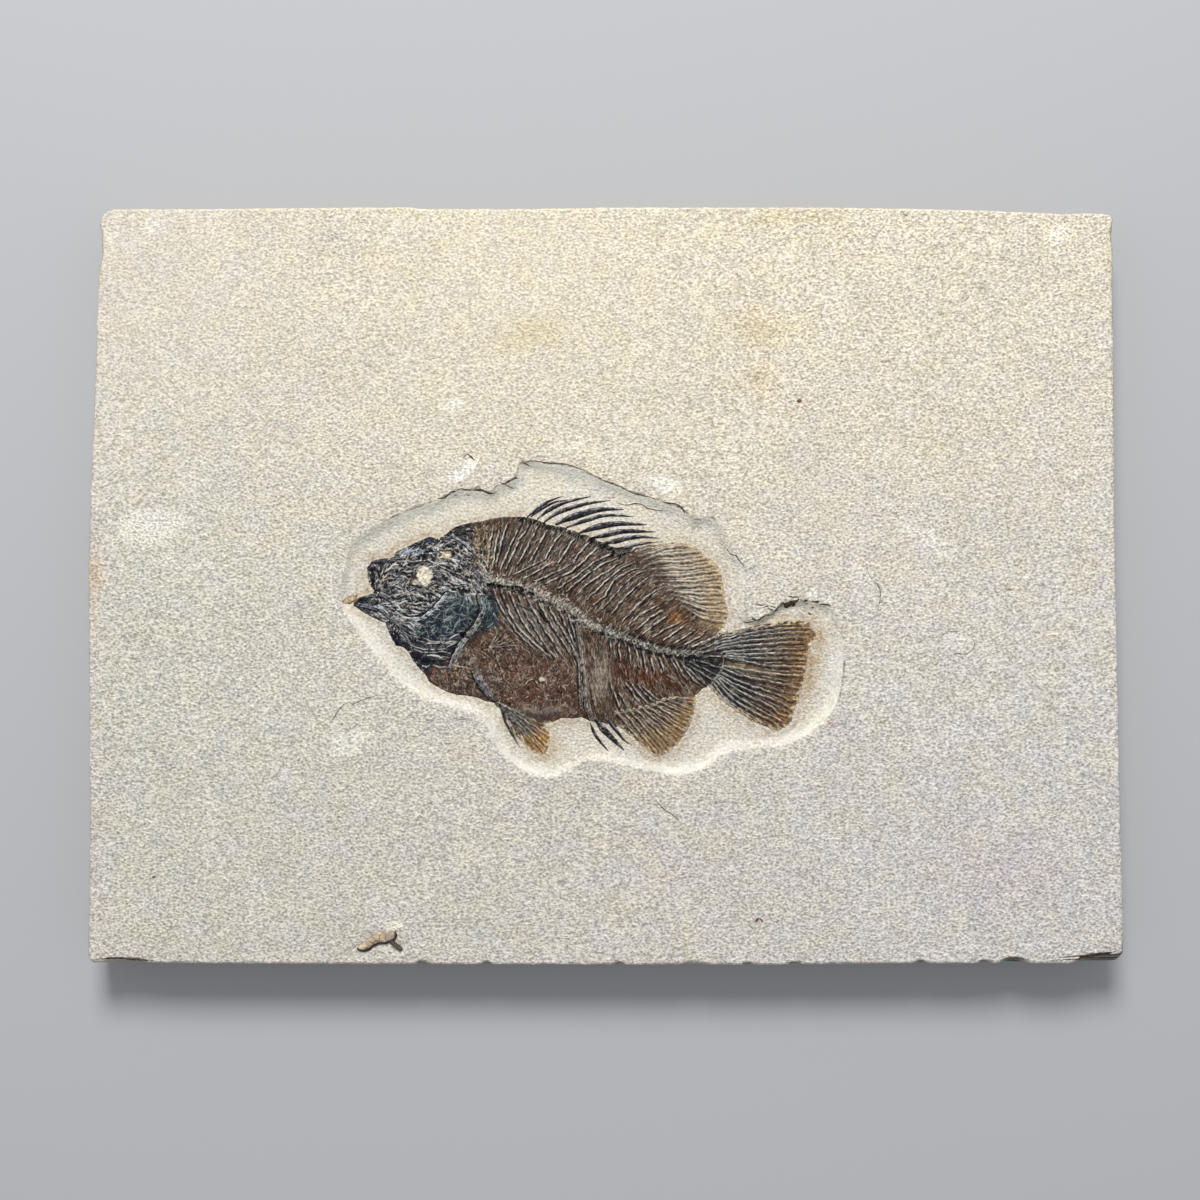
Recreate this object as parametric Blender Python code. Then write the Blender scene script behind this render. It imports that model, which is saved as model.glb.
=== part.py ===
"""A fossil fish slab: a block of pale laminated limestone whose face is scraped down round a fossil fish.

The slab lies on its back. +X runs from the fish's snout to its tail, +Y to its back fin, and +Z out
of the fish's face. The origin is the middle of the slab's flat back. Lengths are in millimetres and
become metres as each mesh is made.
"""
import math

import bpy
from mathutils import Vector
from mathutils.geometry import delaunay_2d_cdt

MM = 0.001

# Slab: 306 x 224 x 18 mm
THICKNESS = 18.0
SWELL = 0.22              # how far the split face waves up and down
SWELL_WAVES = [(31.0, 60.0, 0.7), (47.0, 29.0, 2.1)]   # length along X and along Y for a turn, and phase
SWELL_FADE = 12.0         # distance from the trough and the pit over which the waves grow
EDGE_SPACING = 9.0        # between points along the slab's edge
EDGE_WAVES = [(0.13, 0.9, 1.0), (0.09, 2.3, 1.7)]      # size, turn per point, and turn per mm of height
CORNER_STEPS = 4
GRID_SPACING = 22.0       # between points of the open face

# Slab's edges, each walked clockwise from the corner named by its place in the list
CORNERS = [(-149.4, 111.5, 5.5), (150.2, 109.9, 2.6), (153.0, -111.6, 2.4), (-153.0, -111.3, 3.0)]
EDGES = [
    [(-120.0, 111.5), (-78.0, 112.0), (-57.0, 112.0), (-55.0, 111.6), (-28.0, 111.5), (5.0, 112.0),
     (68.0, 112.0), (110.0, 111.2), (136.0, 110.0), (142.5, 110.3)],
    [(149.8, 90.0), (150.2, 60.0), (150.5, 20.0), (151.0, -5.0), (151.6, -40.0), (152.2, -70.0),
     (153.0, -95.0)],
    [(143.0, -111.7), (120.0, -111.5), (83.0, -111.6), (45.0, -112.0), (-60.0, -111.8),
     (-115.0, -111.6), (-134.0, -111.4)],
    [(-152.5, -90.0), (-152.3, -70.0), (-152.6, -20.0), (-152.8, 3.0), (-152.2, 25.0),
     (-151.2, 48.0), (-150.3, 76.0), (-149.7, 92.0)],
]

# Limestone layers down the edges: height of each ring of points, and how far it stands back
LAYERS = [(17.25, 0.10), (14.3, 0.00), (14.05, 0.50), (10.9, 0.30), (10.65, 0.00), (7.2, 0.15),
          (6.95, 0.65), (3.5, 0.35), (3.25, 0.00), (0.8, 0.10), (0.0, 0.80)]
TOP_BEVEL = 0.85          # how far the face's edge stands back

# Chips knocked off the face's rim: x, y, reach along the rim, reach in, reach down
CHIP_SPREAD = 1.6         # how soon a chip reaches its full bite
CHIPS = [(147.0, -110.5, 11.0, 2.6, 4.5), (120.5, -111.0, 5.0, 1.6, 3.0), (-142.0, -111.0, 9.0, 1.1, 2.0),
         (-149.6, 100.0, 8.0, 0.9, 5.0), (149.9, 104.0, 5.0, 0.8, 2.5), (26.0, -111.5, 5.0, 0.8, 1.6)]

# Trough scraped round the fish: its rim, clockwise from the snout, and the width of its wall
TROUGH_DEPTH = 2.4
TROUGH_RIM = [
    (-78.4, -4.8, 2.4), (-77.4, 3.0, 3.2), (-74.8, 12.0, 3.6), (-68.0, 17.5, 4.2), (-60.0, 21.8, 4.6),
    (-50.0, 25.5, 4.6), (-45.0, 27.7, 4.2), (-39.0, 28.6, 4.2), (-34.0, 27.8, 3.8), (-31.0, 30.1, 3.8),
    (-26.5, 32.0, 3.6), (-25.2, 36.3, 3.6), (-18.0, 36.5, 4.4), (-10.0, 35.5, 4.6), (-3.0, 32.5, 4.4),
    (4.0, 29.5, 4.2), (12.0, 26.5, 4.2), (18.0, 24.6, 4.2), (22.8, 22.8, 3.8), (26.5, 19.6, 3.6),
    (31.0, 20.4, 4.0), (34.0, 17.0, 4.0), (38.0, 10.5, 4.2), (41.0, 5.5, 4.6), (41.6, -1.5, 4.8),
    (41.0, -7.0, 3.6), (43.5, -10.0, 1.6), (48.0, -8.3, 1.6), (52.0, -5.5, 2.2), (57.0, -4.0, 3.0),
    (62.0, -4.7, 3.4), (66.5, -5.7, 3.6), (69.5, -12.0, 3.6), (70.6, -20.0, 4.0), (70.0, -28.0, 4.0),
    (68.0, -36.0, 4.0), (61.5, -42.8, 3.6), (52.5, -47.2, 3.2), (45.0, -48.2, 3.2), (37.0, -48.9, 3.6),
    (31.0, -52.8, 3.6), (25.0, -55.4, 3.6), (18.0, -55.6, 3.2), (9.0, -53.6, 3.2), (0.0, -51.6, 2.4),
    (-6.0, -51.8, 2.4), (-12.0, -55.4, 3.4), (-18.0, -56.6, 3.8), (-25.0, -54.2, 3.4),
    (-31.0, -49.2, 3.2), (-35.0, -42.0, 3.2), (-38.5, -38.2, 3.4), (-46.0, -35.8, 3.2),
    (-54.0, -33.0, 3.6), (-61.0, -28.5, 4.0), (-67.0, -21.5, 3.6), (-72.0, -15.0, 3.2),
    (-76.5, -9.0, 2.2),
]
RIM_STEPS = 2             # points of the rim's curve for each point above
WALL_RINGS = [(0.0, 0.0), (0.35, 0.5), (1.0, 1.0)]     # share of the wall's width, share of the depth

# Thin scale of the next layer still clinging to the face by the left edge
FLAKE_HEIGHT = 0.35
FLAKE_WALL = 0.5
FLAKE = [(-145.6, 19.5), (-138.8, 23.9), (-131.4, 23.0), (-126.1, 15.0), (-123.2, 11.6), (-130.0, 9.7),
         (-137.3, 11.2), (-143.2, 15.0)]

# Coprolite and the shallow pit that it sits in
LUMP_OUTLINE = [(-74.2, -107.6), (-73.4, -106.2), (-70.8, -104.2), (-68.2, -102.7), (-65.0, -102.4),
                (-62.4, -101.6), (-61.2, -102.6), (-62.0, -104.2), (-60.3, -106.4), (-60.4, -107.4),
                (-61.4, -107.2), (-63.6, -105.4), (-66.4, -105.4), (-69.0, -106.2), (-71.4, -107.9)]
LUMP_SPINE = [(-72.6, -107.0), (-70.2, -105.4), (-67.6, -104.1), (-64.8, -103.8), (-62.4, -103.2)]
LUMP_HEIGHT = 1.0
LUMP_EDGE = 0.35
LUMP_SLOPE = 1.2          # distance over which it rises from its edge
PIT_DEPTH = 0.6
PIT_WALL = 0.15
GAP = 0.3                 # between a fossil and the stone under it

# Fish: thickness at its edge, and how much it crowns within CROWN_REACH of the edge
FISH_EDGE = 0.45
FISH_CROWN = 0.75
CROWN_REACH = 13.0
FISH_GRID = 7.0           # between free points of the skin
FISH_REACH = 80.0         # the fish is within this distance of the origin along X and Y

# Fish's outline without its spines, clockwise from the snout
FISH_OUTLINE = [
    (-68.3, -1.6), (-70.2, 1.0), (-70.7, 5.5), (-68.6, 7.9), (-63.5, 8.3), (-60.5, 11.0),
    (-55.0, 13.5), (-52.0, 14.8), (-49.0, 14.2), (-44.0, 17.8), (-37.0, 19.2), (-30.0, 20.5),
    (-23.0, 20.5), (-17.0, 18.1), (-10.0, 16.4), (-5.0, 14.8), (1.5, 11.6), (6.0, 9.8),
    (13.0, 12.2), (19.0, 13.2), (25.0, 12.8), (30.5, 9.2), (34.3, 4.8), (35.8, -2.0), (36.8, -8.5),
    (35.0, -12.8), (41.0, -12.0), (50.0, -10.3), (60.5, -10.0), (63.0, -15.0), (60.5, -19.0),
    (59.7, -26.0), (57.5, -34.0), (55.5, -40.0), (51.0, -43.2), (44.0, -40.5), (36.0, -35.5),
    (30.3, -29.8), (27.4, -32.0), (26.5, -38.0), (23.5, -44.5), (19.0, -49.3), (15.0, -51.0),
    (11.2, -48.0), (7.6, -44.5), (1.0, -40.8), (-4.0, -39.8), (-10.0, -39.2), (-15.5, -40.2), (-16.0, -46.0),
    (-19.0, -50.4), (-24.0, -47.6), (-28.0, -42.0), (-31.5, -36.6), (-34.0, -34.2), (-41.0, -32.6),
    (-49.5, -30.0), (-53.5, -26.0), (-59.0, -18.9), (-62.0, -17.5), (-65.0, -11.8), (-69.5, -9.0),
    (-74.8, -5.6), (-74.6, -4.2), (-71.5, -2.9),
]

# Free spines: root, middle and tip, and half the width at the root
SPINES = [
    [(-23.0, 19.2), (-18.5, 24.0), (-13.0, 26.4), 0.65],
    [(-20.0, 18.0), (-13.0, 24.2), (-4.3, 26.7), 0.75],
    [(-17.0, 16.9), (-9.0, 23.2), (1.6, 25.4), 0.80],
    [(-14.0, 16.2), (-5.5, 21.9), (5.4, 22.8), 0.95],
    [(-10.4, 15.4), (-2.5, 20.2), (8.6, 20.5), 0.75],
    [(-7.0, 14.4), (1.5, 18.2), (12.4, 18.2), 0.85],
    [(-4.0, 13.2), (4.0, 16.1), (14.9, 16.0), 0.75],
    [(-1.0, 11.7), (6.5, 14.2), (16.2, 14.1), 0.65],
    [(-3.6, -39.0), (-2.3, -44.6), (1.0, -49.0), 0.65],
    [(-2.2, -38.6), (1.0, -44.2), (5.7, -48.7), 1.15],
    [(1.0, -38.6), (4.4, -44.4), (8.2, -47.3), 0.80],
    [(-31.2, -34.8), (-29.0, -42.2), (-25.2, -47.9), 0.70],
]
SPINE_HEIGHT = 0.35
SPINE_STEPS = 3           # points of a spine's curve from its root to its middle

# Fin rays: guide rays in order, each a root, two points and a tip, with the rays between each pair
RAY_HEIGHT = 0.32
RAY_HALF_WIDTH = 0.5
FINS = {
    "tail": (3, [
        [(33.5, -13.9), (40.0, -12.4), (50.0, -10.7), (59.5, -10.3)],
        [(33.5, -17.0), (40.0, -15.3), (50.0, -13.6), (61.8, -13.3)],
        [(34.5, -19.9), (41.0, -19.0), (50.0, -18.6), (60.2, -18.7)],
        [(35.2, -22.4), (41.0, -23.2), (49.0, -24.2), (59.4, -24.9)],
        [(34.2, -25.8), (40.0, -28.4), (48.0, -31.8), (57.2, -34.5)],
        [(31.5, -29.2), (37.5, -34.2), (44.0, -38.4), (51.0, -42.7)],
    ]),
    "soft_dorsal": (3, [
        [(8.2, 8.8), (13.5, 10.6), (19.0, 12.2), (24.5, 12.3)],
        [(13.0, 4.6), (18.5, 5.5), (26.0, 6.0), (33.2, 5.6)],
        [(18.0, -1.5), (23.0, -2.1), (29.0, -2.4), (35.5, -2.6)],
        [(24.5, -8.0), (28.0, -10.2), (32.0, -10.9), (35.9, -10.8)],
    ]),
    "anal": (3, [
        [(7.5, -37.2), (9.8, -41.0), (12.4, -45.8), (15.4, -50.2)],
        [(12.0, -36.2), (15.5, -39.6), (19.4, -43.0), (22.4, -45.6)],
        [(16.5, -34.2), (20.5, -34.9), (23.8, -35.2), (26.6, -35.4)],
    ]),
    "pelvic": (2, [
        [(-31.2, -35.6), (-28.6, -40.4), (-25.2, -44.8), (-20.4, -49.6)],
        [(-30.6, -34.6), (-26.4, -38.8), (-21.8, -41.8), (-16.6, -43.6)],
    ]),
}

# Bones that stand proud of the skin: guide bones, with how many lie between each pair
BONE_HALF_WIDTH = 0.62
BONE_HEIGHT = 0.34
BONE_END = 0.5            # share of its width that a bone keeps at its ends
BONE_ROWS = [
    (5, [[(-31.0, 5.5), (-28.0, 12.0), (-24.6, 19.0)], [(-18.0, 8.0), (-14.6, 14.0), (-11.6, 16.4)],
         [(-7.0, 6.4), (-3.4, 10.4), (1.0, 11.2)]]),
    (6, [[(-27.0, 3.4), (-21.0, 6.2), (-14.4, 7.4)], [(-11.0, -1.2), (-4.6, 4.2), (3.4, 8.0)],
         [(5.0, -10.4), (11.0, -4.2), (16.4, -0.8)]]),
    (5, [[(7.5, -12.0), (12.0, -7.6), (17.4, -4.6)], [(25.6, -17.6), (29.0, -15.9), (32.4, -14.7)]]),
    (5, [[(-33.0, -1.2), (-28.4, -11.0), (-19.0, -20.4)], [(-23.0, -3.2), (-18.2, -12.0), (-12.2, -20.8)],
         [(-11.2, -8.2), (-9.4, -14.2), (-7.8, -20.6)]]),
    (5, [[(4.0, -17.4), (4.5, -20.4), (4.9, -23.4)], [(16.0, -20.8), (17.4, -23.8), (18.6, -26.8)]]),
    (2, [[(18.8, -20.8), (21.4, -24.4), (24.0, -27.2)], [(23.0, -21.4), (26.2, -25.6), (29.4, -29.0)]]),
    (3, [[(3.8, -31.0), (5.6, -34.2), (7.2, -36.6)], [(11.0, -29.4), (13.6, -32.2), (16.2, -33.9)]]),
    (2, [[(-35.6, 5.0), (-34.6, 11.0), (-33.0, 17.6)], [(-32.0, 5.2), (-30.4, 11.6), (-28.4, 18.6)]]),
]

# Strong single bones: half width, height and route
STRONG_STEPS = 2          # points of the bone's curve for each point below
STRONG_BONES = {
    "first_interhaemal": (0.85, 0.60, [(-8.6, -9.0), (-7.0, -18.0), (-6.1, -26.0), (-5.7, -33.0),
                                       (-3.8, -39.0)]),
    "cleithrum": (1.25, 0.60, [(-37.0, -2.6), (-36.4, -7.0), (-38.6, -12.4), (-42.4, -17.6), (-45.4, -23.4)]),
    "preopercle": (0.90, 0.50, [(-46.8, -1.6), (-49.6, -5.8), (-54.2, -9.4), (-61.6, -8.4)]),
    "branchiostegal_upper": (0.60, 0.35, [(-57.4, -16.4), (-52.0, -18.2), (-46.8, -18.2)]),
    "branchiostegal_lower": (0.60, 0.35, [(-57.6, -18.8), (-53.0, -20.2), (-48.4, -20.4)]),
    "lower_jaw": (1.10, 0.55, [(-73.4, -4.9), (-69.4, -6.6), (-65.0, -9.2), (-60.4, -13.4)]),
    "upper_jaw": (0.90, 0.50, [(-69.2, 1.0), (-66.0, -2.2), (-62.4, -5.4)]),
    "snout": (1.00, 0.45, [(-69.2, 5.6), (-65.4, 6.2), (-61.8, 8.4)]),
    "skull_roof": (1.10, 0.50, [(-60.4, 8.6), (-54.6, 11.8), (-48.0, 12.6), (-41.6, 16.2)]),
    "skull_side": (0.90, 0.40, [(-49.6, 9.4), (-45.0, 8.0), (-40.6, 5.8), (-37.0, 2.4)]),
    "cheek": (0.80, 0.35, [(-56.0, -1.4), (-51.4, -1.0), (-46.6, 1.6), (-42.4, 3.4)]),
    "pelvis": (0.80, 0.35, [(-39.0, -22.4), (-37.2, -27.2), (-34.4, -31.6), (-31.8, -34.8)]),
    "postcleithrum": (0.60, 0.30, [(-32.6, -19.6), (-30.8, -24.6), (-28.8, -29.2)]),
}

# Backbone: a row of short drums along this line
BACKBONE = [(-37.4, 3.0), (-30.0, 0.9), (-22.0, -1.3), (-14.0, -5.2), (-7.0, -9.6), (-1.0, -12.9),
            (7.0, -15.8), (15.0, -18.7), (22.0, -20.0), (30.0, -20.2)]
BACKBONE_STEPS = 4
DRUMS = 24
DRUM_HALF_WIDTH = 1.15
DRUM_HEIGHT = 0.75
DRUM_WAIST = 0.45         # height left at the joint between two drums

# Gill cover: a smooth raised plate
GILL_COVER = [(-47.6, -3.4), (-40.4, -2.2), (-37.9, -5.2), (-38.4, -9.0), (-41.2, -12.8), (-46.0, -14.4),
              (-51.0, -14.9), (-56.0, -14.6), (-58.6, -12.0), (-53.4, -10.6), (-50.2, -7.6)]
GILL_COVER_HEIGHT = 0.30
GILL_COVER_BEVEL = 1.2

# Orbit: a ring of bone round the pale eye
ORBIT = (-53.5, 3.3)
ORBIT_RADIUS = 3.2
ORBIT_HALF_WIDTH = 0.9
ORBIT_HEIGHT = 0.40
ORBIT_STEPS = 12
EYE_SINK = 0.25

FLOOR = THICKNESS - TROUGH_DEPTH
FISH_BASE = FLOOR + GAP
WELD = 0.03               # points nearer than this become one


def clear_scene():
    """Remove whatever the scene holds."""
    for old in list(bpy.data.objects):
        bpy.data.objects.remove(old, do_unlink=True)


def mix(a, b, share):
    """The point that lies this share of the way from a to b."""
    return (a[0] + (b[0] - a[0]) * share, a[1] + (b[1] - a[1]) * share)


def towards(a, b, distance):
    """The point that lies this distance from a on the way to b."""
    return mix(a, b, distance / math.dist(a[:2], b[:2]))


def smooth(share):
    """Ease from 0 to 1."""
    share = min(1.0, max(0.0, share))
    return share * share * (3.0 - 2.0 * share)


def curve(points, per_span, closed=False):
    """A smooth curve through the points, with per_span steps from each point to the next."""
    if closed:
        padded = [points[-1]] + list(points) + list(points[:2])
    else:
        padded = [points[0]] + list(points) + [points[-1]]
    out = []
    for spot in zip(padded, padded[1:], padded[2:], padded[3:]):
        for step in range(per_span):
            t = step / per_span
            out.append(tuple(
                0.5 * (2 * a + (b - before) * t + (2 * before - 5 * a + 4 * b - after) * t * t
                       + (3 * a - before - 3 * b + after) * t ** 3)
                for before, a, b, after in zip(*spot)))
    return out if closed else out + [tuple(points[-1])]


def near(point, line, closed=False):
    """Distance from a point to a line of points, and where on the line (span, share) it is nearest."""
    best = (1e9, 0, 0.0)
    ends = list(line[1:]) + ([line[0]] if closed else [])
    for span, (a, b) in enumerate(zip(line, ends)):
        dx, dy = b[0] - a[0], b[1] - a[1]
        length = dx * dx + dy * dy
        share = ((point[0] - a[0]) * dx + (point[1] - a[1]) * dy) / length if length else 0.0
        share = min(1.0, max(0.0, share))
        gap = math.hypot(point[0] - a[0] - dx * share, point[1] - a[1] - dy * share)
        if gap < best[0]:
            best = (gap, span, share)
    return best


def inside(point, loop):
    """Whether a point is inside a closed loop of points."""
    x, y = point[0], point[1]
    found = False
    for a, b in zip(loop, list(loop[1:]) + [loop[0]]):
        if (a[1] > y) != (b[1] > y) and x < a[0] + (y - a[1]) * (b[0] - a[0]) / (b[1] - a[1]):
            found = not found
    return found


def normals(line, closed=False):
    """Unit vectors to the right of the way along a line: inward on a clockwise loop."""
    out = []
    last = len(line) - 1
    for i, _ in enumerate(line):
        a = line[i - 1] if i or closed else line[0]
        b = line[(i + 1) % len(line)] if i < last or closed else line[last]
        dx, dy = b[0] - a[0], b[1] - a[1]
        size = math.hypot(dx, dy) or 1.0
        out.append((dy / size, -dx / size))
    return out


def offset(line, widths, closed=False):
    """The line moved sideways by a width at each point."""
    return [(p[0] + n[0] * w, p[1] + n[1] * w) for p, n, w in zip(line, normals(line, closed), widths)]


def widened(loop, width):
    """A clockwise loop moved outward by a width all round."""
    return offset(loop, [-width] * len(loop), closed=True)


class Sketch:
    """Points and edges in the plane, from which a surface is triangulated."""

    def __init__(self):
        self.points = []
        self.edges = []
        self.outlines = []

    def add_line(self, line, closed=False):
        """Draw edges through the points of a line."""
        first = len(self.points)
        self.points.extend((p[0], p[1]) for p in line)
        count = len(line)
        self.edges.extend((first + i, first + i + 1) for i in range(count - 1))
        if closed:
            self.edges.append((first + count - 1, first))

    def add_outline(self, loop):
        """Draw a closed loop that the surface fills."""
        self.add_line(loop, closed=True)
        self.outlines.append([(p[0], p[1]) for p in loop])

    def add_point(self, point):
        """Add one free point."""
        self.points.append((point[0], point[1]))

    def triangles(self):
        """The points and triangles that the outlines enclose, with crossing edges cut at new points."""
        result = delaunay_2d_cdt([Vector(p) for p in self.points], self.edges, [], 0, WELD)
        places = [(p.x, p.y) for p in result[0]]
        every = [tuple(face) for face in result[2]]
        empty = set()
        for number, face in enumerate(every):
            middle = (sum(places[i][0] for i in face) / 3, sum(places[i][1] for i in face) / 3)
            if not any(inside(middle, loop) for loop in self.outlines):
                empty.add(number)
        outside = flood_from_hull(every, empty)
        faces = [face for number, face in enumerate(every) if number not in outside]
        used = sorted({i for face in faces for i in face})
        place_of = {old: new for new, old in enumerate(used)}
        return [places[i] for i in used], [tuple(place_of[i] for i in face) for face in faces]


def flood_from_hull(faces, empty):
    """The empty triangles that can be reached from beyond the hull: a closed gap isn't among them."""
    owner = {(face[i], face[(i + 1) % 3]): number for number, face in enumerate(faces) for i in range(3)}
    reached = {n for (a, b), n in owner.items() if (b, a) not in owner and n in empty}
    front = list(reached)
    while front:
        face = faces[front.pop()]
        for i in range(3):
            beyond = owner.get((face[(i + 1) % 3], face[i]))
            if beyond in empty and beyond not in reached:
                reached.add(beyond)
                front.append(beyond)
    return reached


def rim_loops(faces):
    """The edges that only one triangle has, chained into loops."""
    edges = {(face[i], face[(i + 1) % 3]) for face in faces for i in range(3)}
    following = {a: b for a, b in sorted(edges) if (b, a) not in edges}
    loops = []
    while following:
        start = next(iter(following))
        loop = [start]
        step = following.pop(start)
        while step != start:
            loop.append(step)
            step = following.pop(step)
        loops.append(loop)
    return loops


def make_material(name, colour, roughness):
    """A plain Principled material."""
    material = bpy.data.materials.new(name)
    material.use_nodes = True
    shader = material.node_tree.nodes["Principled BSDF"]
    shader.inputs["Base Color"].default_value = (*colour, 1.0)
    shader.inputs["Roughness"].default_value = roughness
    shader.inputs["Metallic"].default_value = 0.0
    return material


def make_object(name, verts, faces, material):
    """One named object from millimetre points."""
    mesh = bpy.data.meshes.new(name)
    mesh.from_pydata([(x * MM, y * MM, z * MM) for x, y, z in verts], [], faces)
    mesh.materials.append(material)
    mesh.update()
    made = bpy.data.objects.new(name, mesh)
    bpy.context.scene.collection.objects.link(made)
    return made


def relief(name, sketch, height, base, material):
    """A closed solid: the sketch's triangles raised to height(point), over a flat underside at base."""
    points, faces = sketch.triangles()
    verts = [(x, y, height((x, y))) for x, y in points]
    faces = list(faces)
    for loop in rim_loops(faces):
        ring = [points[i] for i in loop]
        under = Sketch()
        under.add_outline(ring)
        flat, flat_faces = under.triangles()
        first = len(verts)
        verts.extend((x, y, base) for x, y in flat)
        below = {i: first + min(range(len(flat)), key=lambda k: math.dist(flat[k], points[i])) for i in loop}
        faces.extend(tuple(first + i for i in reversed(face)) for face in flat_faces)
        for a, b in zip(loop, loop[1:] + loop[:1]):
            faces.append((b, a, below[a]))
            faces.append((b, below[a], below[b]))
    return make_object(name, verts, faces, material)


def swell(point):
    """Slow waves of the split face."""
    waves = [math.sin(point[0] / along_x + point[1] / along_y + phase)
             for along_x, along_y, phase in SWELL_WAVES]
    return SWELL * sum(waves) / len(waves)


def slab_outline():
    """The slab's outline at its widest, clockwise from above."""
    loop = []
    for number, (corner, edge) in enumerate(zip(CORNERS, EDGES)):
        before = EDGES[number - 1][-1]
        following = CORNERS[(number + 1) % len(CORNERS)]
        start = towards(corner, before, corner[2])
        end = towards(corner, edge[0], corner[2])
        for step in range(CORNER_STEPS + 1):
            share = step / CORNER_STEPS
            loop.append(mix(mix(start, corner, share), mix(corner, end, share), share))
        stops = [end] + edge + [towards(following, edge[-1], following[2])]
        for a, b in zip(stops, stops[1:]):
            count = max(1, round(math.dist(a, b) / EDGE_SPACING))
            loop.extend(mix(a, b, step / count) for step in range(1, count))
            if b is not stops[-1]:
                loop.append(b)
    return loop


def edge_ring(outline, height, back):
    """One ring of points round the slab at a height, standing back from the outline."""
    inward = normals(outline, closed=True)
    ring = []
    for i, point in enumerate(outline):
        wave = sum(size * math.sin(i * turn + height * rise) for size, turn, rise in EDGE_WAVES)
        width = max(0.0, back + wave)
        x, y = point[0] + inward[i][0] * width, point[1] + inward[i][1] * width
        for chip_x, chip_y, along, bite, down in CHIPS:
            share = 1.0 - math.dist(point, (chip_x, chip_y)) / along
            drop = 1.0 - (THICKNESS - height) / down
            if share > 0.0 and drop > 0.0:
                nearest = min(range(len(outline)), key=lambda k: math.dist(outline[k], (chip_x, chip_y)))
                push = bite * smooth(CHIP_SPREAD * share) * drop
                x += inward[nearest][0] * push
                y += inward[nearest][1] * push
        ring.append((x, y))
    return ring


def trough_depth(point, rim):
    """How far below the face the trough is at a point inside its rim."""
    gap, span, share = near(point, rim, closed=True)
    wall = rim[span][2] * (1.0 - share) + rim[(span + 1) % len(rim)][2] * share
    place = min(1.0, gap / wall)
    for (a, low), (b, high) in zip(WALL_RINGS, WALL_RINGS[1:]):
        if place <= b:
            return TROUGH_DEPTH * (low + (high - low) * (place - a) / (b - a))
    return TROUGH_DEPTH


def face_height(point, rim):
    """Height of the slab's face."""
    if inside(point, widened(LUMP_OUTLINE, GAP + PIT_WALL / 2)):
        return THICKNESS - PIT_DEPTH
    if inside(point, rim):
        return THICKNESS - trough_depth(point, rim)
    clear = min(near(point, rim, closed=True)[0], near(point, LUMP_OUTLINE, closed=True)[0])
    raised = FLAKE_HEIGHT if inside(point, widened(FLAKE, FLAKE_WALL / 2)) else 0.0
    return THICKNESS + swell(point) * smooth(clear / SWELL_FADE) + raised


def face_sketch(top, rim):
    """The slab's face: its edge, the trough's rings, the flake, the pit and the open ground."""
    face = Sketch()
    face.add_outline(top)
    for across, _ in WALL_RINGS:
        face.add_line(offset(rim, [spot[2] * across for spot in rim], closed=True), closed=True)
    for loop, inner, wall in ((LUMP_OUTLINE, GAP, PIT_WALL), (FLAKE, 0.0, FLAKE_WALL)):
        face.add_line(widened(loop, inner), closed=True)
        face.add_line(widened(loop, inner + wall), closed=True)
    steps_x = int(CORNERS[2][0] / GRID_SPACING)
    steps_y = int(CORNERS[0][1] / GRID_SPACING)
    for column in range(-steps_x, steps_x + 1):
        for row in range(-steps_y, steps_y + 1):
            shift = GRID_SPACING / 2 if column % 2 else 0.0
            point = (column * GRID_SPACING, row * GRID_SPACING + shift)
            clear = min(near(point, rim, closed=True)[0], near(point, top, closed=True)[0])
            if clear > GRID_SPACING / 4 and inside(point, top) and not inside(point, rim):
                face.add_point(point)
    return face


def build_slab(material):
    """The limestone slab: its face, its layered edges and its flat back."""
    outline = slab_outline()
    top = edge_ring(outline, THICKNESS, TOP_BEVEL)
    rim = curve(TROUGH_RIM, RIM_STEPS, closed=True)
    points, faces = face_sketch(top, rim).triangles()
    verts = [(x, y, face_height((x, y), rim)) for x, y in points]
    faces = list(faces)
    upper = rim_loops(faces)[0]
    # Each ring below repeats the face's edge point for point
    order = [min(range(len(top)), key=lambda k: math.dist(top[k], points[i])) for i in upper]
    for level, back in LAYERS:
        ring = edge_ring(outline, level, back)
        lower = list(range(len(verts), len(verts) + len(upper)))
        verts.extend((*ring[k], level) for k in order)
        for i, _ in enumerate(upper):
            j = (i + 1) % len(upper)
            faces.append((upper[j], upper[i], lower[i]))
            faces.append((upper[j], lower[i], lower[j]))
        upper = lower
    back_face = Sketch()
    back_face.add_outline([verts[i][:2] for i in upper])
    flat, flat_faces = back_face.triangles()
    match = [min(upper, key=lambda i: math.dist(verts[i][:2], place)) for place in flat]
    faces.extend(tuple(match[i] for i in reversed(triangle)) for triangle in flat_faces)
    return make_object("limestone_slab", verts, faces, material)


def fan(per_gap, guides):
    """Guide lines with per_gap more between each pair."""
    out = []
    for a, b in zip(guides, guides[1:]):
        for step in range(per_gap + 1):
            out.append([mix(p, q, step / (per_gap + 1)) for p, q in zip(a, b)])
    return out + [list(guides[-1])]


def ridges():
    """Every raised line of the fish: half width, height and route."""
    out = []
    for per_gap, guides in BONE_ROWS:
        out.extend((BONE_HALF_WIDTH, BONE_HEIGHT, line) for line in fan(per_gap, guides))
    for half_width, height, line in STRONG_BONES.values():
        out.append((half_width, height, curve(line, STRONG_STEPS)))
    return out


def spine_outline(spine):
    """A free spine's outline, from its root round its tip and back, and its centre line."""
    root, middle, tip, half_width = spine
    centre = curve([root, middle, tip], SPINE_STEPS)
    widths = [half_width * (1.0 - (step / (2 * SPINE_STEPS)) ** 2) for step in range(2 * SPINE_STEPS + 1)]
    left = offset(centre, [-w for w in widths])
    right = offset(centre, widths)
    return left + right[-2::-1], centre


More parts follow.
